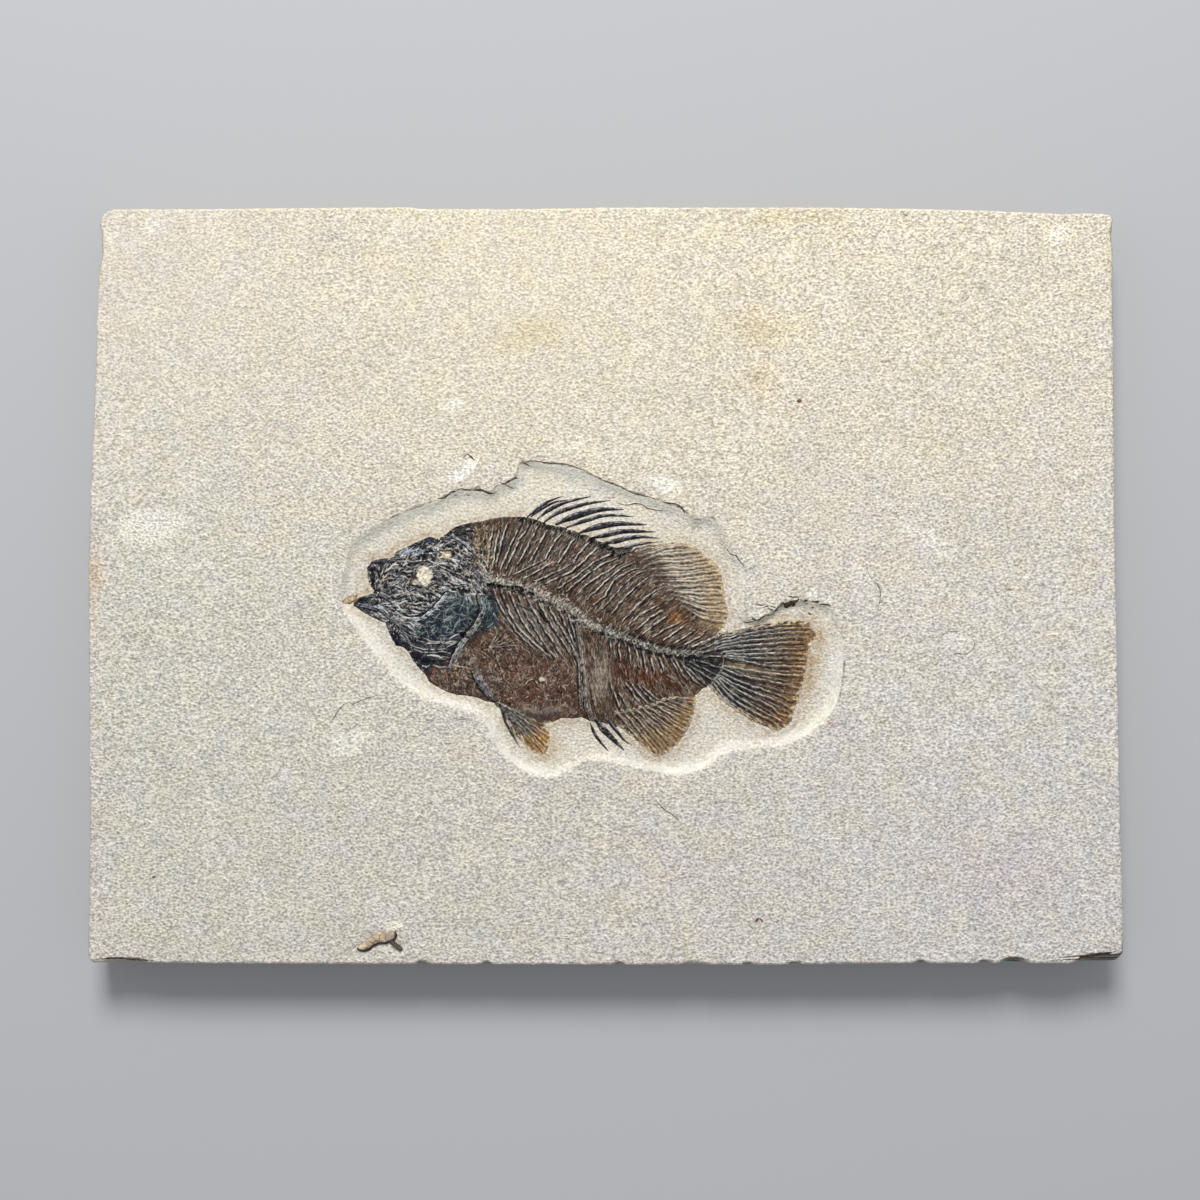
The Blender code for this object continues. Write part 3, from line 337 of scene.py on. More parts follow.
class Skin:
    """Points of a surface, each with a height, a colour and a finish."""

    def __init__(self, x, y, height, colour, grid=None):
        self.x, self.y = x, y
        self.height = height
        self.colour = np.tile(np.asarray(colour, dtype=float), (x.size, 1))
        self.finish = np.zeros((x.size, 3))
        self.warp_x, self.warp_y = x, y
        self.columns, self.rows = grid or (None, None)

    def window(self, low, high):
        """Numbers of the points in a box: of all points, where the skin isn't a grid."""
        if self.columns is None:
            return np.nonzero((self.x > low[0]) & (self.x < high[0]) & (self.y > low[1])
                              & (self.y < high[1]))[0]
        first, last = np.searchsorted(self.columns, (low[0], high[0]))
        bottom, top = np.searchsorted(self.rows, (low[1], high[1]))
        return (np.arange(bottom, top)[:, None] * len(self.columns) + np.arange(first, last)).ravel()

    def near(self, line, reach):
        """The points within reach of a line, with their signed distance and share of the way."""
        margin = reach + 0.8
        some = self.window(line[:, :2].min(axis=0) - margin, line[:, :2].max(axis=0) + margin)
        hit, gap, share = along(self.warp_x[some], self.warp_y[some], line, reach)
        return some[hit], gap, share

    def warp(self, seed, size, amount):
        """Let every line that is drawn from now on wander a little."""
        self.warp_x = self.x + amount * Noise(seed).layers(self.x, self.y, size, 2)
        self.warp_y = self.y + amount * Noise(seed + 1).layers(self.x, self.y, size, 2)

    def closeness(self, x, y, reach):
        """How near each point is to a place, 0 to 1."""
        return np.exp(-((self.x - x) ** 2 + (self.y - y) ** 2) / reach ** 2)

    def paint(self, where, colour, weight):
        """Mix a colour into some points."""
        self.colour[where] += (colour - self.colour[where]) * np.asarray(weight)[..., None]

    def line(self, points, half_width, colour, strength=1.0, rise=0.0, ends=(0.5, 0.3), shift=0.0, soft=0.6,
             broken=0.0):
        """Draw a line, thinner at its ends, that may stand proud of the surface and may be broken."""
        where, gap, share = self.near(points, half_width + abs(shift) + 0.1)
        if not where.size:
            return
        taper = np.minimum(ends[0] + (1.0 - ends[0]) * share / 0.25,
                           ends[1] + (1.0 - ends[1]) * (1.0 - share) / 0.3)
        width = half_width * np.clip(taper, 0.05, 1.0)
        inner = 1.0 - np.abs(gap - shift) / width
        weight = strength * smooth(inner / soft)
        if broken:
            patchy = 0.5 - 1.8 * RAGGED.layers(self.x[where], self.y[where], 1.2, 2)
            weight = weight * np.clip(1.0 - broken * patchy, 0.0, 1.0)
        self.paint(where, colour, weight)
        if rise:
            self.height[where] += rise * np.sqrt(np.clip(inner, 0.0, 1.0)) * smooth(inner * 2.0)

    def patch(self, middle, half_length, half_width, turn, colour, strength, soft=0.6, wander=0.25,
              rise=0.0):
        """Colour an oval patch with a ragged edge."""
        reach = 1.6 * max(half_length, half_width)
        where = self.window(np.array(middle) - reach, np.array(middle) + reach)
        x, y = self.x[where] - middle[0], self.y[where] - middle[1]
        c, s = math.cos(math.radians(turn)), math.sin(math.radians(turn))
        round_share = np.hypot((x * c + y * s) / half_length, (y * c - x * s) / half_width)
        size = max(0.8, 0.6 * min(half_length, half_width))
        ragged = wander * RAGGED.layers(self.x[where], self.y[where], size, 3)
        weight = smooth((1.0 - round_share + ragged) / soft)
        self.paint(where, colour, strength * weight)
        self.height[where] += rise * weight

    def area(self, loop, colour, strength, soft=0.8, wander=0.4, rise=0.0):
        """Colour the inside of a loop, with a ragged edge."""
        loop = np.array(loop, dtype=float)
        low, high = loop.min(axis=0) - 1.5, loop.max(axis=0) + 1.5
        where = self.window(low, high)
        x, y = self.x[where], self.y[where]
        depth = depth_inside(x, y, loop, 3.0) + wander * RAGGED.layers(x, y, 1.6, 3)
        weight = smooth(depth / soft + 0.5)
        self.paint(where, colour, strength * weight)
        self.height[where] += rise * smooth(depth / 1.5)
        return where, weight


def build_mesh(name, points, triangles, attributes, material, crease=40.0):
    """One object from millimetre points, with a colour attribute for each array given."""
    mesh = bpy.data.meshes.new(name)
    mesh.vertices.add(len(points))
    mesh.vertices.foreach_set("co", np.asarray(points * MM, dtype=np.float32).ravel())
    mesh.loops.add(3 * len(triangles))
    mesh.loops.foreach_set("vertex_index", np.asarray(triangles, dtype=np.int32).ravel())
    mesh.polygons.add(len(triangles))
    mesh.polygons.foreach_set("loop_start", np.arange(0, 3 * len(triangles), 3, dtype=np.int32))
    mesh.update(calc_edges=True)
    mesh.validate()
    for key, values in attributes.items():
        made = mesh.attributes.new(key, "FLOAT_COLOR", "POINT")
        opaque = np.hstack([values, np.ones((len(values), 1))]).astype(np.float32)
        made.data.foreach_set("color", opaque.ravel())
    mesh.shade_smooth()
    mesh.set_sharp_from_angle(angle=math.radians(crease))
    mesh.materials.append(material)
    made = bpy.data.objects.new(name, mesh)
    bpy.context.scene.collection.objects.link(made)
    return made


def fill(ring_points, ring_edges):
    """Triangles over flat closed loops: the numbers of the ring's points, anticlockwise from above."""
    result = delaunay_2d_cdt([Vector(p) for p in ring_points], ring_edges, [], 1, 1e-6)
    source = [spots[0] for spots in result[3]]
    return np.array([[source[i] for i in face] for face in result[2]])


def tidy_cells(cells):
    """Fill a grid's holes and the corners where cells touch only at a point."""
    outside = np.zeros((cells.shape[0] + 2, cells.shape[1] + 2), dtype=bool)
    solid = np.pad(cells, 1)
    outside[0, :] = outside[-1, :] = outside[:, 0] = outside[:, -1] = True
    while True:
        grown = outside.copy()
        grown[1:] |= outside[:-1]
        grown[:-1] |= outside[1:]
        grown[:, 1:] |= grown[:, :-1]
        grown[:, :-1] |= grown[:, 1:]
        grown &= ~solid
        if (grown == outside).all():
            break
        outside = grown
    cells = ~outside[1:-1, 1:-1]
    while True:
        a, b, c, d = cells[:-1, :-1], cells[:-1, 1:], cells[1:, :-1], cells[1:, 1:]
        pinched = (a & d & ~b & ~c) | (b & c & ~a & ~d)
        if not pinched.any():
            return cells
        for part in (a, b, c, d):
            part |= pinched


def kept_cells(keep, wide):
    """The cells of a grid whose four corners are kept, without holes or pinches."""
    kept = keep.reshape(-1, wide)
    return tidy_cells(kept[:-1, :-1] & kept[1:, :-1] & kept[:-1, 1:] & kept[1:, 1:])


def relief(name, cells, skin, base, material, attributes):
    """A closed piece: some cells of a grid at their heights, with walls round them and a flat underside."""
    wide, count = cells.shape[1] + 1, skin.x.size
    row, column = np.nonzero(cells)
    corner = row * wide + column
    right, up, far = corner + 1, corner + wide, corner + wide + 1
    top = np.vstack([np.stack([corner, right, far], axis=1), np.stack([corner, far, up], axis=1)])
    walled = np.pad(cells, 1)
    rim = np.vstack([
        np.stack([corner, right], axis=1)[~walled[row, column + 1]],
        np.stack([right, far], axis=1)[~walled[row + 1, column + 2]],
        np.stack([far, up], axis=1)[~walled[row + 2, column + 1]],
        np.stack([up, corner], axis=1)[~walled[row + 1, column]],
    ])
    used = np.unique(top)
    place = np.full(count, -1)
    place[used] = np.arange(used.size)
    ring = np.unique(rim)
    below = np.full(count, -1)
    below[ring] = used.size + np.arange(ring.size)
    ring_place = {number: i for i, number in enumerate(ring)}
    flat = fill(list(zip(skin.x[ring], skin.y[ring])), [(ring_place[a], ring_place[b]) for a, b in rim])
    a, b = rim.T
    triangles = np.vstack([
        place[top],
        np.stack([place[b], place[a], below[a]], axis=1),
        np.stack([place[b], below[a], below[b]], axis=1),
        used.size + flat[:, ::-1],
    ])
    points = np.vstack([
        np.stack([skin.x[used], skin.y[used], skin.height[used]], axis=1),
        np.stack([skin.x[ring], skin.y[ring], np.full(ring.size, base)], axis=1),
    ])
    values = {key: np.vstack([array[used], array[ring]]) for key, array in attributes.items()}
    return build_mesh(name, points, triangles, values, material)


class Shader:
    """A material's node tree, built a node at a time."""

    def __init__(self, name):
        self.material = bpy.data.materials.new(name)
        self.material.use_nodes = True
        self.tree = self.material.node_tree
        self.surface = self.tree.nodes["Principled BSDF"]

    def put(self, socket, value):
        """Link an output to a socket, or set the socket's value."""
        if isinstance(value, bpy.types.NodeSocket):
            self.tree.links.new(value, socket)
        else:
            socket.default_value = value

    def node(self, kind, inputs, **settings):
        """A node with its settings and inputs."""
        made = self.tree.nodes.new(kind)
        for key, value in settings.items():
            setattr(made, key, value)
        for key, value in inputs.items():
            self.put(made.inputs[key], value)
        return made

    def place(self, stretch=(1.0, 1.0, 1.0)):
        """The object's own coordinates, stretched."""
        spot = self.node("ShaderNodeTexCoord", {})
        return self.node("ShaderNodeMapping",
                         {"Vector": spot.outputs["Object"], "Scale": stretch}).outputs[0]

    def noise(self, size, detail=2.0, stretch=(1.0, 1.0, 1.0), rough=0.55):
        """Noise with features of a size in millimetres, 0 to 1."""
        inputs = {"Vector": self.place(stretch), "Scale": 1.0 / (size * MM), "Detail": detail,
                  "Roughness": rough}
        return self.node("ShaderNodeTexNoise", inputs).outputs["Fac"]

    def streaks(self, length, width, detail):
        """Noise drawn out along the mesh's own grain, 0 to 1: its flow attribute is in millimetres."""
        flow = self.attribute("flow")
        drawn = self.node("ShaderNodeMapping",
                          {"Vector": flow, "Scale": (1.0 / length, 1.0 / width, 1.0)}).outputs[0]
        return self.node("ShaderNodeTexNoise",
                         {"Vector": drawn, "Scale": 1.0, "Detail": detail}).outputs["Fac"]

    def math(self, operation, a, b=0.0):
        """Arithmetic on two values."""
        return self.node("ShaderNodeMath", {0: a, 1: b}, operation=operation).outputs[0]

    def product(self, value, *others):
        """The product of some values."""
        for other in others:
            value = self.math("MULTIPLY", value, other)
        return value

    def total(self, value, *others):
        """The sum of some values."""
        for other in others:
            value = self.math("ADD", value, other)
        return value

    def spread(self, value, low, high, to_low, to_high):
        """Move a value from one range to another."""
        inputs = {"Value": value, "From Min": low, "From Max": high, "To Min": to_low, "To Max": to_high}
        return self.node("ShaderNodeMapRange", inputs).outputs[0]

    def scaled(self, colour, factor):
        """A colour made lighter or darker by a factor."""
        return self.node("ShaderNodeVectorMath", {0: colour, "Scale": factor}, operation="SCALE").outputs[0]

    def times(self, colour, other):
        """A colour multiplied by another."""
        return self.node("ShaderNodeVectorMath", {0: colour, 1: other}, operation="MULTIPLY").outputs[0]

    def spotted(self, colour, middle, half_length, half_width, turn, hue, strength):
        """A colour with one small ragged spot on it."""
        spot = self.node("ShaderNodeTexCoord", {})
        inputs = {"Vector": spot.outputs["Object"], "Location": (middle[0] * MM, middle[1] * MM, 0.0),
                  "Rotation": (0.0, 0.0, math.radians(turn)),
                  "Scale": (half_length * MM, half_width * MM, 1e6)}
        local = self.node("ShaderNodeMapping", inputs, vector_type="TEXTURE").outputs[0]
        distance = self.node("ShaderNodeVectorMath", {0: local}, operation="LENGTH").outputs["Value"]
        ragged = self.spread(self.noise(0.5, 3.0), 0.3, 0.7, -0.35, 0.35)
        share = self.spread(self.math("ADD", distance, ragged), 0.72, 1.12, strength, 0.0)
        return self.mixed(share, colour, (*hue, 1.0))

    def mixed(self, share, a, b):
        """A mix of two colours."""
        return self.node("ShaderNodeMix", {0: share, 6: a, 7: b}, data_type="RGBA").outputs[2]

    def attribute(self, name):
        """A colour attribute of the mesh."""
        return self.node("ShaderNodeAttribute", {}, attribute_name=name).outputs["Color"]

    def parts(self, colour):
        """A colour's three channels."""
        return self.node("ShaderNodeSeparateColor", {0: colour}).outputs

    def bump(self, height, distance, strength=1.0):
        """Surface relief from a height, in millimetres at height 1."""
        inputs = {"Height": height, "Distance": distance * MM, "Strength": strength}
        self.put(self.surface.inputs["Normal"], self.node("ShaderNodeBump", inputs).outputs[0])


GRAIN_SIZE = 0.70
GRAIN_CONTRAST = 1.08
CLOT_CONTRAST = 0.03
GRAIN_RELIEF = 0.30
SCRAPE_CONTRAST = 0.36
# Painted shadow along the lip of the trough's wall above the fish
LIP_SHADOW_COLOUR = tone(112, 104, 92)
# Small crisp spots: middle, half length, half width, turn, colour, strength
SPOTS = [
    ((57.1, 54.6), 0.75, 0.65, 0, (104, 66, 34), 0.95), ((-133.2, -85.8), 0.7, 0.35, 20, (66, 54, 46), 0.9),
    ((44.7, -98.5), 1, 0.40, 60, (104, 56, 46), 0.95), ((46, -98.6), 0.8, 0.32, -50, (110, 60, 48), 0.9),
    ((119, -1), 1.1, 0.40, 0, (150, 100, 80), 0.8), ((66.7, -40.7), 0.9, 0.55, 0, (214, 150, 138), 0.7),
    ((88.5, 109.5), 0.7, 0.4, 0, (120, 96, 70), 0.8),
]


def limestone_material():
    """Pale limestone: grained on the open face, smoother where it is scraped, banded down its edges, with a
    painted highlight on the scraped wall and painted shadow at its lip.
    """
    shader = Shader("limestone_looks")
    grained, banded, _ = shader.parts(shader.attribute("finish"))[:3]
    place, lip_shadow_strength, shown = shader.parts(shader.attribute("rim"))[:3]
    grain = shader.spread(shader.noise(GRAIN_SIZE, 2.5, (0.85, 1.0, 1.0)), 0.28, 0.72, -0.5, 0.5)
    clots = shader.spread(shader.noise(2.8, 2.0), 0.3, 0.7, -0.5, 0.5)
    sand = shader.noise(0.32, 2.0)
    mottle = shader.spread(shader.noise(11.0, 3.0), 0.3, 0.7, 0.965, 1.035)

    # The scraped wall, crisp at its lip and streaked along its way, painted near white as a highlight
    scrape = shader.spread(shader.streaks(7.0, 0.75, 3.0), 0.3, 0.7, -0.5, 0.5)
    foot = shader.total(place, shader.product(scrape, 0.6))
    wall = shader.product(shader.spread(place, -0.02, 0.12, 0.0, 1.0),
                          shader.spread(foot, 0.30, 0.95, 1.0, 0.0), shown)
    open_share = shader.product(grained, shader.spread(wall, 0.0, 1.0, 1.0, 0.28))
    # Painted highlight: the near-white wall colour is mixed in where the wall shows
    tint = shader.mixed(wall, shader.attribute("tint"), shader.attribute("wall_highlight_tint"))
    # Painted shadow: a broken dark line along the wall's lip, above the fish only
    lip_shadow = shader.spread(shader.math("ABSOLUTE", shader.math("SUBTRACT", place, 0.02)), 0.0, 0.12, 1.0, 0.0)
    broken = shader.spread(shader.noise(3.0, 3.0), 0.40, 0.58, 0.15, 1.0)
    lip_shadow = shader.product(lip_shadow, lip_shadow_strength, broken)
    tint = shader.mixed(lip_shadow, tint, (*LIP_SHADOW_COLOUR, 1.0))

    grit = shader.total(shader.product(grain, GRAIN_CONTRAST), shader.product(clots, CLOT_CONTRAST))
    grit = shader.product(grit, open_share)
    streaked = shader.product(scrape, wall, SCRAPE_CONTRAST)
    fine = shader.total(shader.spread(sand, 0.3, 0.7, -0.04, 0.04), streaked)
    factor = shader.product(mottle, shader.total(1.0, shader.total(grit, fine)))
    colour = shader.scaled(tint, factor)
    blush = shader.spread(shader.noise(9.0, 3.0), 0.36, 0.64, 0.0, 1.0)
    colour = shader.times(colour, shader.mixed(blush, (1.02, 1.0, 0.945, 1.0), (0.985, 0.98, 1.01, 1.0)))
    for spot in SPOTS:
        colour = shader.spotted(colour, *spot[:-2], tone(*spot[-2]), spot[-1])

    band = shader.spread(shader.noise(22.0, 4.0, (1.0, 1.0, 26.0), 0.65), 0.32, 0.68, 0.0, 1.0)
    strata = shader.mixed(band, opaque(150, 136, 116), opaque(214, 204, 184))
    strata = shader.scaled(strata, shader.spread(sand, 0.3, 0.7, 0.93, 1.07))
    shader.put(shader.surface.inputs["Base Color"], shader.mixed(banded, colour, strata))
    rough = shader.spread(grain, -0.5, 0.5, 0.95, 0.80)
    shader.put(shader.surface.inputs["Roughness"], rough)
    shader.surface.inputs["Specular IOR Level"].default_value = 0.25
    relief_height = shader.total(shader.product(grain, open_share), shader.product(sand, 0.22),
                                 shader.product(scrape, shader.product(wall, 0.3)),
                                 shader.product(banded, band))
    shader.bump(relief_height, GRAIN_RELIEF)
    return shader.material


STREAK_LENGTH, STREAK_WIDTH = 2.8, 0.56
STREAK_STOPS, FLECK_STOPS = 6.5, 4.0
FLECK_SIZE = 0.80
THREAD_SHARE = 0.80
HUE_SHARE = 0.30


def bone_material():
    """Fossil bone: dark and slightly glossy, streaked along its grain, and dull where it is pale."""
    shader = Shader("fossil_bone_looks")
    dull, calm, _ = shader.parts(shader.attribute("finish"))[:3]
    lively = shader.math("SUBTRACT", 1.0, calm)
    streak = shader.math("SUBTRACT", shader.streaks(STREAK_LENGTH, STREAK_WIDTH, 2.0), 0.5)
    thread = shader.streaks(1.6 * STREAK_LENGTH, 1.9 * STREAK_WIDTH, 1.0)
    fleck = shader.math("SUBTRACT", shader.noise(FLECK_SIZE, 2.0), 0.5)
    stops_off = shader.total(shader.product(streak, STREAK_STOPS), shader.product(fleck, FLECK_STOPS))
    factor = shader.math("POWER", 2.0, shader.product(stops_off, lively))
    colour = shader.scaled(shader.attribute("tint"), factor)
    hue = shader.spread(shader.noise(1.3, 3.0), 0.35, 0.65, 0.0, 1.0)
    warmth = shader.mixed(hue, (1.22, 0.98, 0.80, 1.0), (0.86, 1.0, 1.14, 1.0))
    colour = shader.mixed(shader.product(lively, HUE_SHARE), colour, shader.times(colour, warmth))
    off_thread = shader.math("ABSOLUTE", shader.math("SUBTRACT", thread, 0.5))
    on_thread = shader.product(shader.spread(off_thread, 0.0, 0.026, THREAD_SHARE, 0.0), lively)
    bunched = shader.spread(shader.noise(3.2, 2.0), 0.42, 0.60, 0.0, 1.0)
    colour = shader.mixed(shader.product(on_thread, bunched), colour, opaque(190, 182, 166))
    shader.put(shader.surface.inputs["Base Color"], colour)
    shine = shader.product(fleck, 0.3)
    rough = shader.total(shader.spread(dull, 0.0, 1.0, 0.40, 0.88), shine)
    shader.put(shader.surface.inputs["Roughness"], rough)
    shader.surface.inputs["Specular IOR Level"].default_value = 0.14
    height = shader.total(shader.product(fleck, 0.8), streak)
    shader.bump(shader.product(height, shader.spread(calm, 0.0, 1.0, 1.0, 0.35)), 0.14)
    return shader.material


def crack_and_shadow_material():
    """Dark brown dirt in a crack, used too as painted shadow along the trough's rim."""
    shader = Shader("crack_and_shadow_looks")
    fleck = shader.noise(0.7, 3.0)
    dirt_and_shade = shader.mixed(shader.spread(fleck, 0.35, 0.65, 0.0, 1.0), opaque(50, 42, 34),
                        opaque(112, 96, 78))
    shader.put(shader.surface.inputs["Base Color"], dirt_and_shade)
    shader.surface.inputs["Roughness"].default_value = 0.95
    shader.surface.inputs["Specular IOR Level"].default_value = 0.1
    shader.bump(fleck, 0.08)
    return shader.material


STONE = tone(208, 203, 190)
# Slow changes of the stone's colour: x, y, reach, colour
STONE_ZONES = [
    (-150, 100, 70, (220, 213, 198)), (0, 105, 80, (230, 221, 198)), (110, 100, 70, (228, 220, 200)),
    (-150, 0, 70, (211, 208, 197)), (-100, -90, 80, (209, 205, 195)), (0, -95, 80, (211, 206, 198)),
    (120, -80, 80, (211, 207, 204)), (130, 10, 70, (217, 212, 202)), (0, 60, 50, (222, 216, 198)),
    (0, -20, 60, (213, 208, 196)),
]


def slab_outline():
    """Four sides of the slab's outline, each clockwise from the middle of one corner to the next."""
    arcs = []
    for number, (x, y, size) in enumerate(CORNERS):
        corner = np.array([x, y])
        before = np.array(EDGES[number - 1][-1])
        after = np.array(EDGES[number][0])
        start = corner + (before - corner) * size / math.dist(before, corner)
        end = corner + (after - corner) * size / math.dist(after, corner)
        shares = np.linspace(0.0, 1.0, 9)[:, None]
        arcs.append((1 - shares) ** 2 * start + 2 * shares * (1 - shares) * corner + shares ** 2 * end)
    return [np.vstack([arcs[n][4:], EDGES[n], arcs[(n + 1) % 4][:5]]) for n in range(4)]


def spaced(line, shares):
    """Points at these shares of a line's length."""
    lengths = np.concatenate([[0.0], np.cumsum(np.hypot(*np.diff(line, axis=0).T))])
    return np.stack([np.interp(shares * lengths[-1], lengths, line[:, axis]) for axis in (0, 1)], axis=1)


def stops(low, high, fine):
    """Shares of the way from low to high, closer together within the fine range."""
    places = [np.linspace(low, fine[0], round((fine[0] - low) / OPEN_SPACING) + 1)[:-1],
              np.linspace(fine[0], fine[1], round((fine[1] - fine[0]) / FINE_SPACING) + 1)[:-1],
              np.linspace(fine[1], high, round((high - fine[1]) / OPEN_SPACING) + 1)]
    return (np.concatenate(places) - low) / (high - low)


EDGE_NOISE = Noise(11)


def ring_of(outline, inward, way, height, back):
    """A ring of points round the slab at a height, standing back from the outline."""
    rough = EDGE_ROUGHNESS * EDGE_NOISE.layers(way, np.full(way.shape, height * 2.3), 5.0, 3)
    points = outline + inward * np.maximum(0.0, back + rough)[:, None]
    for x, y, reach, bite, down, _ in CHIPS:
        distance = np.hypot(outline[:, 0] - x, outline[:, 1] - y)
        ragged = 0.25 * EDGE_NOISE.layers(way, np.full(way.shape, height * 9.0), 2.0, 2)
        share = smooth(1.6 * (1.0 - distance / reach) + ragged * (distance < reach))
        drop = 1.0 - (THICKNESS - height) / down
        if drop > 0.0:
            push = inward[np.argmin(distance)]
            points = points + push * (bite * share * drop)[:, None]
    return points


SWELL_NOISE = Noise(12)
WALL_NOISE = Noise(13)
RIM = curve(TROUGH_RIM, 1.2, closed=True)
LIP_LINE = (-9.0, -0.42)  # the wall is in shadow above this line: height at X 0, and slope


def below_fish(x, y):
    """How far each point is on the side of the trough that faces the light, 0 to 1."""
    return smooth((LIP_LINE[0] + LIP_LINE[1] * x - y) / 8.0 + 0.5)


def trough_share(x, y):
    """Where each point is in the trough.

    Gives its depth (0 at the rim, 1 on the floor), its distance in, its way round, and its place across
    the wall (0 at the lip, 1 at the foot).
    """
    ring = np.vstack([RIM, RIM[:1]])
    depth = np.full(x.shape, -60.0)
    way = np.zeros(x.shape)
    hit, gap, share = along(x, y, ring, 60.0)
    depth[hit] = np.abs(gap)
    way[hit] = share
    inner = enclosed(x, y, RIM)
    depth = np.where(inner, np.abs(depth), -np.abs(depth))
    depth = depth + RIM_WANDER * WALL_NOISE.layers(x, y, 5.0, 3)
    steps = np.linspace(0.0, 1.0, len(ring))
    place = depth / np.interp(way, steps, ring[:, 2])
    profile = np.where(place < 0.4, 0.45 * place / 0.4, 0.45 + 0.55 * (place - 0.4) / 0.6)
    return smooth_floor(np.clip(profile, 0.0, 1.0), 1.3 - 0.28 * below_fish(x, y)), depth, way, place


def smooth_floor(share, ease):
    """Round the foot of the wall off, and its lip too where ease is above 1."""
    return np.sin(0.5 * np.pi * share) ** ease


def face_height(x, y):
    """Height of the slab's face, and where its points are in the trough."""
    trough = trough_share(x, y)
    share, depth, way, _ = trough
    swell = 0.13 * SWELL_NOISE.layers(x, y, 60.0, 2) + 0.09 * SWELL_NOISE.layers(x + 300.0, y, 14.0, 3)
    open_height = THICKNESS + swell * smooth(-depth / 5.0)
    scrape = 0.05 * WALL_NOISE.layers(way * 90.0, depth * 1.1, 1.0, 2)
    floor_wave = 0.05 * WALL_NOISE.layers(x, y, 9.0, 2)
    sunk = TROUGH_DEPTH * share - (scrape + floor_wave) * smooth(depth / 1.5)
    return open_height - sunk, trough


# Where the grain is fainter: x, y, reach, how much
QUIET = [(-140, 95, 60, 0.30), (-30, 95, 60, 0.22)]
RIM_LENGTH = 420.0
# Where the wall shows, with its painted highlight and its lip's painted shadow: x, y, reach, strength
WALLS = [
    (-76, -7, 8, 0.70), (-70, -18, 12, 0.85), (-58, -30, 12, 0.75), (-44, -37, 10, 0.65),
    (-33, -46, 8, 0.90), (-22, -55, 10, 0.95), (6, -53, 10, 0.60), (22, -56, 11, 1.00), (33, -51, 8, 0.80),
    (58, -45, 10, 0.90), (68, -36, 9, 1.00), (71, -24, 8, 0.55), (-70, 16, 9, 0.50), (-56, 23, 11, 0.75),
    (-42, 27, 10, 0.70), (-28, 31, 8, 0.50), (-18, 36, 10, 0.85), (-4, 33, 9, 0.85), (9, 28, 9, 0.80),
    (20, 24, 7, 0.60), (28, 20, 6, 0.45), (48, -8, 8, 0.35),
]
# Where the stain in the trough is strong: x, y, reach, strength
SEEPS = [(64, -24, 12, 1.10), (40, -42, 12, 0.20), (-12, -46, 14, 0.35), (-58, 16, 14, 0.35),
         (-72, 4, 10, 0.30), (40, 0, 8, 0.10), (16, -54, 12, 0.35), (0, 21, 9, 0.15)]


def paint_face(skin, trough):
    """The stone's colours: slow zones, stains, bruises and the trough, with the wall's painted highlight
    colour apart.
    """
    _, depth, way, place = trough
    weight_sum = np.full(skin.x.size, 0.15)
    colour = np.outer(weight_sum, STONE)
    for x, y, reach, hue in STONE_ZONES:
        weight = skin.closeness(x, y, reach)
        colour += np.outer(weight, tone(*hue))
        weight_sum = weight_sum + weight
    skin.colour = colour / weight_sum[:, None]
    blotch = 1.05 + 0.035 * RAGGED.layers(skin.x, skin.y, 26.0, 3)
    skin.colour *= blotch[:, None]
    for x, y, long, wide, turn, hue, strength, soft in STAINS:
        skin.patch((x, y), long, wide, turn, tone(*hue), strength, soft)
    for x, y, long, wide, turn, rise, white in SCALES:
        skin.patch((x, y), long, wide, turn, tone(255, 252, 243), white, 0.25, 0.55, rise)
    scraped = smooth(depth / 0.8)
    skin.paint(EVERY, tone(226, 222, 210), 0.55 * scraped)

    # Yellow-brown stain that has soaked out of the fish
    away = -depth_inside(skin.x, skin.y, np.array(SILHOUETTE), 9.0)
    patchy = RAGGED.layers(skin.x, skin.y, 2.6, 3)
    strength = np.full(skin.x.size, 0.12)
    for x, y, reach, more in SEEPS:
        strength += more * skin.closeness(x, y, reach)
    soaked = smooth(1.0 - away / 7.0) * np.clip(0.75 + 0.8 * patchy, 0.0, 1.3)
    skin.paint(EVERY, tone(190, 170, 132), np.clip(strength * soaked * scraped, 0.0, 0.9))
    fringe = np.exp(-((away - 0.9 - 0.6 * patchy) / 0.55) ** 2) * np.clip(0.5 + 1.3 * patchy, 0.0, 1.0)
    skin.paint(EVERY, tone(158, 126, 88), 0.55 * fringe * scraped)

    # Colour of the wall: near white, a painted highlight; above the fish, painted shadow greys its lip
    lower = below_fish(skin.x, skin.y)
    wall = tone(240, 238, 226) + np.outer(lower, tone(236, 233, 222) - tone(240, 238, 226))
    shown = np.full(skin.x.size, 0.12)
    for x, y, reach, more in WALLS:
        shown = np.maximum(shown, more * skin.closeness(x, y, reach))
    shown = shown * np.clip(1.0 + 0.6 * RAGGED.layers(skin.x, skin.y, 5.0, 2), 0.4, 1.1)
    quiet = np.zeros(skin.x.size)
    for x, y, reach, less in QUIET:
        quiet = np.maximum(quiet, less * skin.closeness(x, y, reach))
    skin.finish[:, 0] = 1.0 - 0.25 * scraped - quiet
    place = place * (1.0 - lower * (0.25 + 0.15 * smooth((-30.0 - skin.x) / 20.0)))
    # The rim's middle channel is the strength of the painted shadow at the lip, above the fish only
    rim = np.stack([np.clip(place, -2.0, 4.0), 0.95 * (1.0 - lower) * smooth(2.0 * shown), shown], axis=1)
    flow = np.stack([way * RIM_LENGTH, depth, np.zeros(way.size)], axis=1)
    return {"wall_highlight_tint": wall, "rim": rim, "flow": flow}


